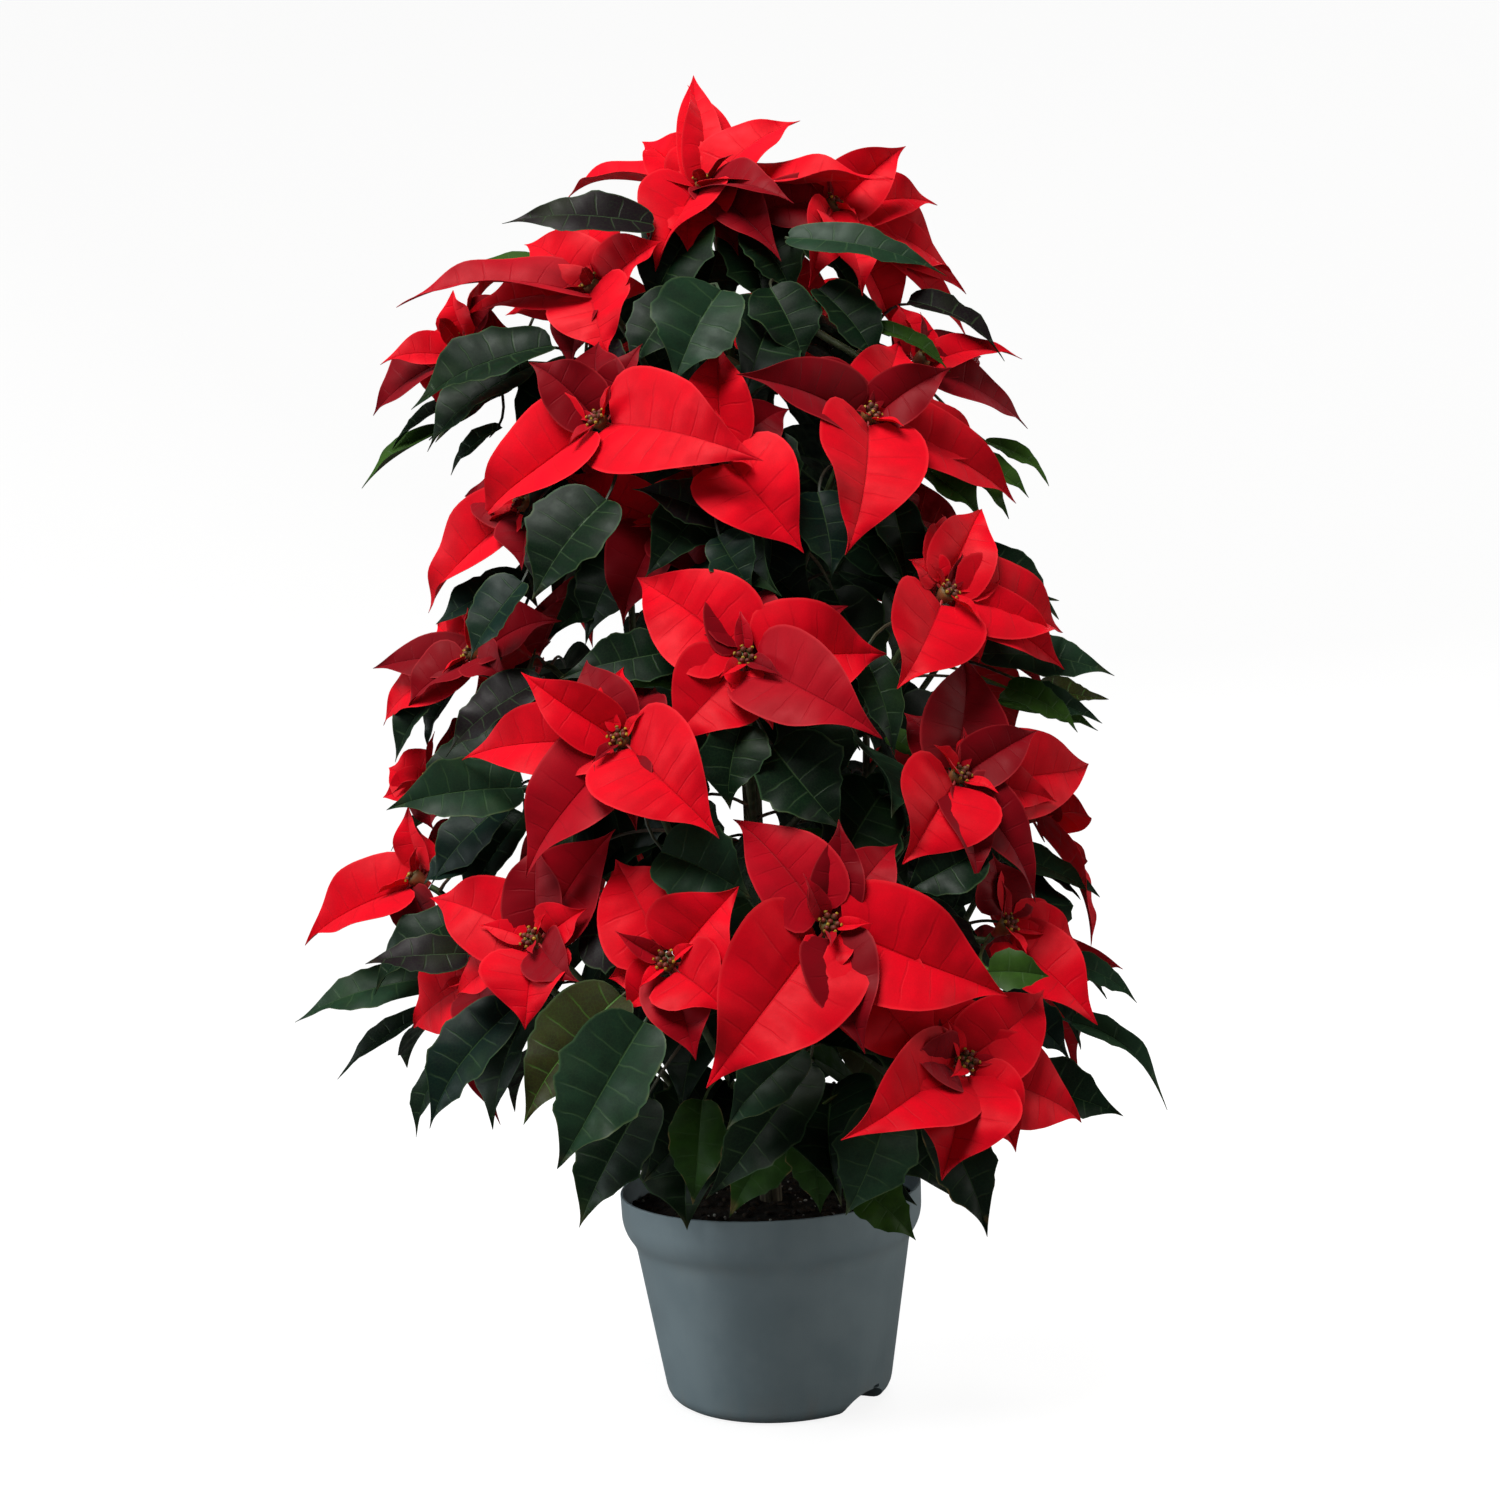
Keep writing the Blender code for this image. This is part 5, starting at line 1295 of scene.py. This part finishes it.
def sheet_faces(rows, columns):
    """The faces of a closed sheet: its upper side, its rim and its lower side."""
    upper = np.arange((rows + 1) * columns).reshape(rows + 1, columns)
    lower = upper + upper.size
    top = np.stack((upper[:-1, :-1], upper[:-1, 1:], upper[1:, 1:], upper[1:, :-1]), axis=-1).reshape(-1, 4)
    bottom = np.stack((lower[:-1, :-1], lower[1:, :-1], lower[1:, 1:], lower[:-1, 1:]), axis=-1)
    bottom = bottom.reshape(-1, 4)
    ring = np.concatenate((upper[0, :-1], upper[:-1, -1], upper[-1, :0:-1], upper[:0:-1, 0]))
    ahead = np.roll(ring, -1)
    rim = np.stack((ring, ring + upper.size, ahead + upper.size, ahead), axis=-1)
    finish = np.concatenate((np.zeros(len(top) + len(rim)), np.ones(len(bottom))))
    return np.concatenate((top, rim, bottom)), finish


def add_blade(skin, blade, form, tint, dice):
    """Adds a leaf or bract in rows that follow its side veins."""
    run = blade.tip - blade.base
    length = run.length
    along = run.normalized()
    face = Matrix.Rotation(blade.roll, 3, along) @ square_to(blade.face, along)
    side = along.cross(face)
    rows = next(count for least, count in ROWS if length >= least)
    rows = SHADED_ROWS if blade.shade == "shaded" else rows
    half = 0.5 * blade.width
    t = np.linspace(0.0, 1.0, rows + 1)[:, None]
    u = COLUMNS[None, :]
    hand = np.sign(u)
    reach, edge_along = eased_edge(form.edge, rows)
    reach = np.maximum(reach, TIP_BREADTH) + 0 * u
    ends = np.sqrt(np.sin(math.pi * np.clip(t, 0.0, 1.0)).clip(0.0))
    for way in (-1, 1):
        for tooth in range(form.teeth):
            where = 0.30 + (tooth + dice.uniform(0.1, 0.9)) * 0.40 / form.teeth
            size = dice.uniform(0.08, 0.21)
            point = np.clip(1 - np.abs(t - where) / 0.06, 0.0, 1.0)
            reach += (hand == way) * size * point * reach
    lean = blade.skew * np.clip(6 * (t - 0.5), -1.0, 1.0)
    x = u * reach * (1 - hand * lean)
    y = t + (edge_along - t) * np.abs(u) ** 1.4
    phase = rows / VEIN_ROWS * t + VEIN_SHIFT * (u > 0)
    spread = np.abs(x)
    fold = blade.fold * dice.uniform(*form.fold)
    lift = half * math.sin(fold) * (1.6 * spread - 0.6 * spread ** 2)
    lift -= form.quilt * blade.width * np.cos(math.tau * phase) * 4 * np.abs(u) * (1 - np.abs(u)) * ends
    for way in (-1, 1):
        count = dice.uniform(1.2, 2.4)
        wave = np.sin(math.tau * (count * t + dice.random()))
        height = dice.uniform(0.5, 1.0) * form.wave * blade.width
        lift += (hand == way) * height * np.abs(u) ** 2.2 * wave * ends
    flat = half * x * math.cos(fold)
    angle = dice.uniform(-form.twist, form.twist) * (t - 0.2)
    across = flat * np.cos(angle) - lift * np.sin(angle)
    across = across + dice.uniform(-form.sway, form.sway) * length * np.sin(math.pi * t)
    hook = dice.uniform(-form.sway, form.sway) * np.clip((t - 0.65) / 0.35, 0.0, 1.0) ** 2
    across = across + (hook + blade.bend * t ** 2) * length
    rise = flat * np.sin(angle) + lift * np.cos(angle) + blade.arch * length * 4 * y * (1 - y)
    rise = rise - dice.uniform(*form.droop) * length * np.clip((y - 0.5) / 0.5, 0.0, 1.0) ** 2
    axes = np.array((side, along, face))
    local = np.stack((across, y * length, rise), axis=-1)
    points = np.array(blade.base) + local @ axes
    normal = np.cross(np.gradient(points, axis=1), np.gradient(points, axis=0))
    normal /= np.linalg.norm(normal, axis=-1, keepdims=True)
    rib = RIB * (1.05 - t) * np.exp(-(u * reach / 0.06) ** 2) * min(1.0, length / 0.08)
    thick = (SHEET * (1 - 0.4 * np.abs(u) ** 4) + rib)[..., None]
    upper = points + normal * 0.5 * SHEET
    lower = upper - normal * thick
    spot = np.stack((x, t + 0 * u, phase), axis=-1).reshape(-1, 3)
    rim = (np.abs(u) + 0 * t).reshape(-1)
    faces, finish = sheet_faces(rows, len(COLUMNS))
    finish = np.where(finish == 0, TURNING if blade.shade == TURNED_SHADE else 0, finish)
    both = np.concatenate((upper.reshape(-1, 3), lower.reshape(-1, 3)))
    skin.add(both, faces, finish, np.concatenate((spot, spot)), tint, np.concatenate((rim, rim)))


def smooth_way(points, steps):
    """A smooth curve through the points."""
    made = []
    for index in range(len(points) - 1):
        start = points[index]
        end = points[index + 1]
        reach = (end - start).length
        pull = (end - points[max(index - 1, 0)]).normalized() * reach
        push = (points[min(index + 2, len(points) - 1)] - start).normalized() * reach
        for step in range(steps):
            t = step / steps
            made.append(start * (2 * t ** 3 - 3 * t ** 2 + 1) + pull * (t ** 3 - 2 * t ** 2 + t)
                        + end * (3 * t ** 2 - 2 * t ** 3) + push * (t ** 3 - t ** 2))
    return made + [points[-1]]


def add_tube(skin, points, radii, sides, first_tint, last_tint):
    """Adds a round stem with closed ends, its tint changing along it."""
    line = np.array([tuple(point) for point in points])
    count = len(line)
    ways = np.gradient(line, axis=0)
    ways /= np.linalg.norm(ways, axis=1, keepdims=True)
    bend = np.cross(line[count // 2] - line[0], line[-1] - line[0])
    if np.linalg.norm(bend) < 1e-7:
        bend = np.cross(ways[0], (0.31, 0.87, 0.39))
    one = np.cross(bend / np.linalg.norm(bend), ways)
    one /= np.linalg.norm(one, axis=1, keepdims=True)
    two = np.cross(ways, one)
    turn = np.arange(sides) * math.tau / sides
    radii = np.array(radii)[:, None, None]
    ring = np.cos(turn)[None, :, None] * one[:, None] + np.sin(turn)[None, :, None] * two[:, None]
    index = np.arange(count * sides).reshape(count, sides)
    ahead = np.roll(index, -1, axis=1)
    walls = np.stack((index[:-1], ahead[:-1], ahead[1:], index[1:]), axis=-1).reshape(-1, 4)
    caps = []
    for step in range(sides // 2 - 1):
        cap = np.array((step, step + 1, sides - 2 - step, sides - 1 - step))
        caps += [cap[::-1], cap + (count - 1) * sides]
    share = np.repeat(np.linspace(0.0, 1.0, count), sides)[:, None]
    tint = np.array(first_tint) * (1 - share) + np.array(last_tint) * share
    spot = np.stack((np.tile(turn / math.tau, count), share[:, 0], 0 * share[:, 0]), axis=-1)
    rounds = (line[:, None] + radii * ring).reshape(-1, 3)
    skin.add(rounds, np.concatenate((walls, caps)), STEM_SKIN, spot, tint, 0.0)


def add_stalk(skin, blade, thick, first_tint, last_tint):
    """Adds a blade's stalk, from its root, bowed a little, to a short way under the blade."""
    along = (blade.tip - blade.base).normalized()
    face = square_to(blade.face, along)
    under = blade.base + along * 0.012 - face * 0.0004
    sag = Vector((0.0, 0.0, 0.10 * (blade.base - blade.root).length))
    points = bow(blade.root, blade.root.lerp(blade.base, 0.35) + sag,
                 blade.base - along * 0.3 * (blade.base - blade.root).length, under, 8)
    radii = np.interp(np.linspace(0.0, 1.0, len(points)), (0.0, 0.15, 0.85, 1.0), (1.25, 1.0, 0.85, 0.35))
    add_tube(skin, points, thick * radii, 6, first_tint, last_tint)


def make_veins():
    """The pattern of a blade: its rib, side veins, the net between them and its rim."""
    group, takes, gives = node_group(
        "blade_veins",
        (("Blade", "Vector", None), ("Rim", "Float", 0.0), ("Place", "Vector", None),
         ("Net size", "Float", 420.0)),
        (("Rib", "Float"), ("Veins", "Float"), ("Net", "Float"), ("Edge", "Float"), ("Height", "Float")))
    spot = add_node(group, "SeparateXYZ", {0: takes["Blade"]}).outputs
    away = maths(group, "ABSOLUTE", spot["X"])
    taper = span(group, spot["Y"], 0.0, 1.0, 1.0, 0.25)
    rib = span(group, maths(group, "DIVIDE", away, taper), 0.036, 0.012)
    uneven = noise_of(group, takes["Place"], 55.0, 2.0)
    phase = maths(group, "ADD", spot["Z"], maths(group, "MULTIPLY_ADD", uneven, 0.24, -0.12))
    near = maths(group, "PINGPONG", phase, 0.5)
    veins = maths(group, "MULTIPLY", span(group, near, 0.055, 0.012), span(group, takes["Rim"], 1.0, 0.55))
    net = add_node(group, "TexVoronoi", {"Vector": takes["Place"], "Scale": takes["Net size"]},
                   feature="DISTANCE_TO_EDGE").outputs["Distance"]
    net = span(group, net, 0.10, 0.01)
    group.links.new(rib, gives["Rib"])
    group.links.new(veins, gives["Veins"])
    group.links.new(net, gives["Net"])
    group.links.new(span(group, takes["Rim"], 0.93, 1.0), gives["Edge"])
    group.links.new(maths(group, "MULTIPLY_ADD", veins, 0.7, rib), gives["Height"])
    return group


def blade_material(name, veins, specular):
    """A blade's material and, as sockets, its place, veins, tint and how far along the blade it lies."""
    made, tree, shader, place = new_material(name, specular)
    spot = add_node(tree, "Attribute", attribute_name="blade")
    rim = add_node(tree, "Attribute", attribute_name="rim")
    tint = add_node(tree, "Attribute", attribute_name="tint")
    marks = placed(tree, veins, {"Blade": spot.outputs["Vector"], "Rim": rim.outputs["Fac"], "Place": place})
    along = add_node(tree, "SeparateXYZ", {0: spot.outputs["Vector"]}).outputs["Y"]
    return made, tree, shader, place, marks, tint.outputs, along


def make_leaf(name, veins, vein_colour, vein_share):
    """A leaf's upper side: dark, softly shiny, with paler veins, a paler rim that is partly painted
    highlight, and tan where tip and rim have dried.
    """
    made, tree, shader, place, marks, tint, along = blade_material(name, veins, 0.12)
    patches = noise_of(tree, place, 90.0, 4.0)
    cloud = noise_of(tree, place, 22.0, 2.0)
    dark = blend(tree, 0.35, tint["Color"], BLACK)
    colour = blend(tree, span(tree, patches, 0.3, 0.7), dark, tint["Color"])
    warm = blend(tree, 0.3, tint["Color"], WARM_GREEN)
    colour = blend(tree, span(tree, cloud, 0.5, 0.75, 0.0, 0.6), colour, warm)
    vein = blend(tree, vein_share, tint["Color"], vein_colour)
    colour = blend(tree, maths(tree, "MULTIPLY", marks["Net"], 0.12), colour, vein)
    colour = blend(tree, maths(tree, "MULTIPLY", marks["Veins"], 0.50), colour, vein)
    colour = blend(tree, marks["Rib"], colour, vein)
    # the rim painted paler: partly its own green, partly a painted highlight where light catches the edge
    colour = blend(tree, maths(tree, "MULTIPLY", marks["Edge"], 0.5), colour, RIM_GREEN_AND_HIGHLIGHT)
    dry = maths(tree, "ADD", span(tree, along, 0.80, 1.0), marks["Edge"])
    dry = maths(tree, "MULTIPLY", dry, tint["Alpha"])
    dry = maths(tree, "MULTIPLY", dry, span(tree, patches, 0.45, 0.62))
    colour = blend(tree, dry, colour, TAN)
    rough = span(tree, patches, 0.3, 0.7, 0.52, 0.40)
    relief = maths(tree, "MULTIPLY_ADD", patches, 0.35, maths(tree, "MULTIPLY", marks["Height"], -1.0))
    finish_with(tree, shader, colour, rough, relief, 0.5, 0.0005)
    return made


def make_leaf_under(veins):
    """A leaf's lower side: paler and dull, with raised veins."""
    made, tree, shader, place, marks, tint, along = blade_material("leaf_lower", veins, 0.12)
    patches = noise_of(tree, place, 120.0, 4.0)
    pale = blend(tree, 0.55, tint["Color"], UNDER_GREEN)
    colour = blend(tree, span(tree, patches, 0.3, 0.7), tint["Color"], pale)
    ridge = maths(tree, "MAXIMUM", marks["Rib"], maths(tree, "MULTIPLY", marks["Veins"], 0.7))
    colour = blend(tree, maths(tree, "MULTIPLY", ridge, 0.7), colour, VEIN_GREEN)
    dry = maths(tree, "MULTIPLY", span(tree, along, 0.84, 1.0), tint["Alpha"])
    colour = blend(tree, dry, colour, TAN)
    rough = span(tree, patches, 0.3, 0.7, 0.75, 0.62)
    finish_with(tree, shader, colour, rough, marks["Height"], 0.6, 0.0007)
    return made


def make_green_stem():
    """A young stem or stalk: smooth skin with fine upright streaks."""
    made, tree, shader, place = new_material("green_stem", 0.4)
    tint = add_node(tree, "Attribute", attribute_name="tint").outputs["Color"]
    uneven = placed(tree, grain, {"Place": place, "Patches": 130.0, "Grain": 1600.0})
    dark = blend(tree, 0.45, tint, BLACK)
    colour = blend(tree, uneven["Tone"], dark, tint)
    rough = span(tree, uneven["Tone"], 0.0, 1.0, 0.62, 0.48)
    finish_with(tree, shader, colour, rough, uneven["Height"], 0.35, 0.0005)
    return made


veins = make_veins()
leaf_finishes = [make_leaf("leaf_upper", veins, VEIN_GREEN, 0.55), make_leaf_under(veins), make_green_stem(),
                 make_leaf("leaf_turning", veins, YOUNG_VEIN, 0.8)]
leaf_form = Form(LEAF_EDGE, 3, 0.009, 0.070, (1.0, 2.4), (0.0, 0.09), 0.035, math.radians(20))
for shoot in shoots:
    skin = Skin()
    for points in shoot.stems:
        way = smooth_way(points, 6)
        ends = (STEM_GREEN, STEM_GREEN) if shoot.name == "shoot_top" else (STEM_WOODY, STEM_GREEN)
        add_tube(skin, way, stem_radii(len(way)), 8, *ends)
    for number, blade in enumerate(shoot.blades):
        # A leaf that would hang over the front of the pot ends at its rim, as in the photograph.
        if blade.tip.z < RIM_HEIGHT - 0.02 and blade.tip.y < 0:
            share = (blade.base.z - RIM_HEIGHT) / (blade.base.z - blade.tip.z)
            blade.tip = blade.base.lerp(blade.tip, share)
        own = random.Random(f"{shoot.name} leaf {number}")
        shade = blade.shade or own.choice(COMMON_GREENS)
        change = own.uniform(0.85, 1.15)
        red, green, blue, age = LEAF_GREENS[shade]
        tint = (red * change, green * change, blue * change, age * own.uniform(0.6, 1.0))
        add_blade(skin, blade, leaf_form, tint, own)
        add_stalk(skin, blade, LEAF_STALK_RADIUS, LEAF_STALK, tuple(2.2 * tone for tone in tint))
    settle(skin.piece(f"{shoot.name}_leaves_and_stems", leaf_finishes), shoot.name)

# The blooms.
# Each stem ends in a bloom: a ring of large red bracts, a few young ones standing up in the middle,
# and a tight cluster of small green buds, each with a yellow nectar gland on its side.
BRACT_EDGE = (
    (0.0, 0.10, -0.02), (0.05, 0.46, -0.09), (0.10, 0.76, -0.06), (0.17, 0.94, 0.04), (0.25, 1.0, 0.18),
    (0.35, 0.96, 0.34), (0.46, 0.84, 0.49), (0.58, 0.64, 0.62), (0.70, 0.41, 0.73), (0.80, 0.235, 0.81),
    (0.88, 0.12, 0.88), (0.94, 0.05, 0.94), (1.0, 0.0, 1.0),
)
# 'dull' and 'dark' are deeper reds: partly the red of older bracts, partly painted shade for bracts that lie
# deep in the plant or face away
BRACT_REDS = {
    "bright": (0.72, 0.001, 0.011, 0.0), "dull": (0.40, 0.002, 0.010, 0.3),
    "dark": (0.20, 0.0005, 0.005, 0.0),
}                                                 # as the leaves' greens
SHADOW_RED = (0.10, 0.0, 0.002)
VEIN_RED = (0.16, 0.0, 0.004)
# painted highlight: the paler, pinker red that a bract's rim is painted, as where light catches its edge
RIM_HIGHLIGHT_RED = (0.95, 0.06, 0.07)
UNDER_RED = (0.50, 0.05, 0.06)
RIB_RED = (0.62, 0.09, 0.08)
SHEEN_PINK = (1.0, 0.45, 0.50, 1.0)
BRACT_STALK_RADIUS = 0.0012
COMMON_REDS = ("bright",) * 4 + ("dark",) + ("dull",)
BRACT_STALK = (0.45, 0.010, 0.012, 0.0)
CORE_GREEN = (0.10, 0.13, 0.03, 0.0)
BUD_GREEN = (0.045, 0.085, 0.012, 0.0)
BUD_RED = (0.20, 0.012, 0.010, 0.0)
GLAND_YELLOW = (0.45, 0.30, 0.02, 0.0)
YOUNG_BRACTS = 3
YOUNG_LENGTH = (0.016, 0.032)
BUDS = 7
# The outlines of a bud, of the gland on it and of the core, as (height, radius) in millimetres.
BUD_STEPS = ((0.0, 0.5), (0.9, 1.7), (2.0, 2.2), (3.4, 2.1), (4.6, 1.5), (5.3, 0.6))
GLAND_STEPS = ((0.0, 0.4), (0.5, 1.2), (1.2, 1.2), (1.7, 0.4))
CORE_STEPS = ((0.0, 3.0), (3.0, 3.4), (8.0, 5.2), (12.0, 6.4), (14.5, 6.0), (16.0, 3.5))


def make_bract(veins):
    """A bract's upper side: saturated red with a velvety sheen, its side veins drawn in darker, and a
    painted highlight along its rim.
    """
    made, tree, shader, place, marks, tint, _ = blade_material("bract_upper", veins, 0.07)
    shader.inputs["Sheen Weight"].default_value = 0.10
    shader.inputs["Sheen Roughness"].default_value = 0.45
    shader.inputs["Sheen Tint"].default_value = SHEEN_PINK
    patches = noise_of(tree, place, 70.0, 4.0)
    dark = blend(tree, 0.16, tint["Color"], SHADOW_RED)
    colour = blend(tree, span(tree, patches, 0.3, 0.7), dark, tint["Color"])
    deep = blend(tree, 0.55, tint["Color"], VEIN_RED)
    colour = blend(tree, maths(tree, "MULTIPLY", marks["Net"], 0.15), colour, deep)
    colour = blend(tree, maths(tree, "MULTIPLY", marks["Veins"], 0.30), colour, deep)
    colour = blend(tree, maths(tree, "MULTIPLY", marks["Rib"], 0.4), colour, deep)
    # painted highlight: the rim is painted toward a paler, pinker red, as where light catches the edge
    bright = blend(tree, 0.35, tint["Color"], RIM_HIGHLIGHT_RED)
    colour = blend(tree, maths(tree, "MULTIPLY", marks["Edge"], 0.5), colour, bright)
    rough = span(tree, patches, 0.3, 0.7, 0.56, 0.46)
    relief = maths(tree, "MULTIPLY_ADD", patches, 0.3, maths(tree, "MULTIPLY", marks["Height"], -1.0))
    finish_with(tree, shader, colour, rough, relief, 0.5, 0.0005)
    return made


def make_bract_under(veins):
    """A bract's lower side: a paler, duller red with raised veins."""
    made, tree, shader, place, marks, tint, _ = blade_material("bract_lower", veins, 0.08)
    patches = noise_of(tree, place, 110.0, 4.0)
    pale = blend(tree, 0.35, tint["Color"], UNDER_RED)
    colour = blend(tree, span(tree, patches, 0.3, 0.7), tint["Color"], pale)
    ridge = maths(tree, "MAXIMUM", marks["Rib"], maths(tree, "MULTIPLY", marks["Veins"], 0.7))
    colour = blend(tree, maths(tree, "MULTIPLY", ridge, 0.5), colour, RIB_RED)
    rough = span(tree, patches, 0.3, 0.7, 0.72, 0.6)
    finish_with(tree, shader, colour, rough, marks["Height"], 0.6, 0.0007)
    return made


def add_turned(skin, foot, way, steps, sides, first_tint, last_tint):
    """Adds a small round body along its own axis, from (height, radius) in millimetres."""
    points = [foot + way * (0.001 * height) for height, radius in steps]
    add_tube(skin, points, [0.001 * radius for height, radius in steps], sides, first_tint, last_tint)


def add_buds(skin, bloom, own):
    """Adds the core that carries the bracts, and the cluster of buds on it."""
    level = bloom.axis.orthogonal().normalized()
    upright = bloom.axis.cross(level)
    add_turned(skin, bloom.foot, bloom.axis, CORE_STEPS, 12, BRACT_STALK, CORE_GREEN)
    for bud in range(BUDS):
        turn = bud * math.tau / (BUDS - 1) + own.uniform(-0.2, 0.2)
        out = 0.0 if bud == 0 else 1.0
        around = way_round(level, upright, turn)
        way = (bloom.axis + around * out * own.uniform(0.25, 0.5)).normalized()
        foot = bloom.middle + bloom.axis * 0.0022 + around * out * 0.0036
        size = own.uniform(0.8, 1.05)
        steps = [(height * size, radius * size) for height, radius in BUD_STEPS]
        add_turned(skin, foot, way, steps, 8, BUD_GREEN, BUD_RED)
        gland = foot + way * 0.0034 * size + (around + level * 0.2) * 0.0019
        add_turned(skin, gland, (way + around).normalized(), GLAND_STEPS, 6, GLAND_YELLOW, GLAND_YELLOW)


def add_young_bracts(skin, bloom, own):
    """Adds the young bracts that stand up round the buds."""
    level = bloom.axis.orthogonal().normalized()
    upright = bloom.axis.cross(level)
    turn = own.uniform(0, math.tau)
    for number in range(YOUNG_BRACTS):
        turn += LEAF_TURN
        around = way_round(level, upright, turn)
        way = (around + bloom.axis * own.uniform(0.35, 0.95)).normalized()
        root = bloom.middle + bloom.axis * 0.002 + around * 0.004
        base = root + around * 0.003 + bloom.axis * 0.001
        length = own.uniform(*YOUNG_LENGTH)
        face = (bloom.axis - around * 0.4).normalized()
        blade = Blade(root, base, base + way * length, face, 0.54 * length, 0.04, math.radians(16), True)
        add_blade(skin, blade, bract_form, red_of(own.choice(COMMON_REDS), own), own)


def red_of(shade, own):
    """A bract's red, a little different on each."""
    red, green, blue, age = BRACT_REDS[shade]
    change = own.uniform(0.86, 1.06)
    return red * change, green * change, blue * change, age


bract_finishes = [make_bract(veins), make_bract_under(veins), leaf_finishes[STEM_SKIN]]
bract_form = Form(BRACT_EDGE, 0, 0.008, 0.060, (0.9, 2.1), (0.0, 0.09), 0.040, math.radians(22))
for bloom in blooms:
    skin = Skin()
    for number, blade in enumerate(bloom.blades):
        own = random.Random(f"{bloom.name} bract {number}")
        add_blade(skin, blade, bract_form, red_of(blade.shade or own.choice(COMMON_REDS), own), own)
        add_stalk(skin, blade, BRACT_STALK_RADIUS, BRACT_STALK, BRACT_STALK)
    own = random.Random(bloom.name)
    add_young_bracts(skin, bloom, own)
    add_buds(skin, bloom, own)
    settle(skin.piece(f"{bloom.name}_bracts_and_buds", bract_finishes), bloom.name)

# The studio.
# A pale round cove, a wide soft light from above in front, one from behind, a weak one at each side
# and a pale sky. The camera stands in front of the plant's middle, where the photograph was taken.
COVE_RADIUS = 4.2
COVE_BEND = 1.6
COVE_TOP = 4.0
COVE_WHITE = (0.22, 0.22, 0.22)
COVE_GREY = (0.20, 0.20, 0.205)
WHITE = (1.0, 1.0, 1.0)
SKY = 0.035
SKY_TINT = (0.97, 0.985, 1.0, 1.0)
PAPER_GLOW = 0.88         # how much whiter the camera sees the paper, as if it had its own lights
PLANT_MIDDLE = Vector((0.0, 0.0, 0.5))
CAMERA_PLACE = Vector((0.0, -1.4375, 0.489))
CAMERA_ROLL = math.radians(-2.7)
LENS = 45.0


def make_cove():
    """The floor and the backdrop, in one turned sheet."""
    profile = [(0.0, 0.0), (0.5 * COVE_RADIUS, 0.0)]
    for step in range(13):
        angle = 0.5 * math.pi * step / 12
        radius = COVE_RADIUS - COVE_BEND + COVE_BEND * math.sin(angle)
        profile.append((radius, COVE_BEND * (1 - math.cos(angle))))
    profile.append((COVE_RADIUS, COVE_TOP))
    cove = applied(turned("studio_cove", [(r, z - 0.0002) for r, z in profile], 96), 60)
    made, tree, shader, place = new_material("cove_paper", 0.2)
    tone = noise_of(tree, place, 3.0, 2.0)
    colour = blend(tree, span(tree, tone, 0.3, 0.7, 0.0, 0.04), COVE_WHITE, COVE_GREY)
    tree.links.new(colour, shader.inputs["Base Color"])
    tree.links.new(span(tree, tone, 0.3, 0.7, 0.9, 0.95), shader.inputs["Roughness"])
    seen = add_node(tree, "LightPath").outputs["Is Camera Ray"]
    tree.links.new(blend(tree, seen, BLACK, WHITE), shader.inputs["Emission Color"])
    shader.inputs["Emission Strength"].default_value = PAPER_GLOW
    made.cycles.emission_sampling = "NONE"        # the glow lights nothing, so no ray looks for it
    cove.data.materials.append(made)


def soft_light(name, spot, size, energy, colour):
    """A square soft light that looks at the plant's middle."""
    light = bpy.data.lights.new(name, "AREA")
    light.size = size
    light.energy = energy
    light.color = colour
    made = linked(name, light)
    made.location = spot
    made.rotation_euler = (PLANT_MIDDLE - Vector(spot)).to_track_quat("-Z", "Y").to_euler()
    return made


make_cove()
soft_light("light_above", (-0.9, -1.5, 3.0), 1.6, 131.0, (1.0, 0.99, 0.97))
behind = soft_light("light_behind", (0.9, 2.3, 2.5), 1.6, 65.0, (1.0, 0.99, 0.98))
behind.visible_glossy = False                     # it gives no glare on leaves seen from the front
soft_light("light_left", (-2.6, -0.2, 1.1), 1.2, 26.0, (0.88, 0.95, 1.0))
soft_light("light_right", (2.6, -0.2, 1.1), 1.2, 16.0, (1.0, 0.97, 0.92))
sky = bpy.data.worlds.new("pale_sky")
sky.use_nodes = True
sky.node_tree.nodes["Background"].inputs["Color"].default_value = SKY_TINT
sky.node_tree.nodes["Background"].inputs["Strength"].default_value = SKY
bpy.context.scene.world = sky

lens = bpy.data.cameras.new("camera")
lens.lens = LENS
lens.sensor_width = 36.0
camera = linked("camera", lens)
camera.location = CAMERA_PLACE
level = Matrix.Rotation(math.radians(90), 4, "X")
camera.rotation_euler = (level @ Matrix.Rotation(CAMERA_ROLL, 4, "Z")).to_euler()
bpy.context.scene.camera = camera
bpy.context.scene.view_settings.view_transform = "Standard"
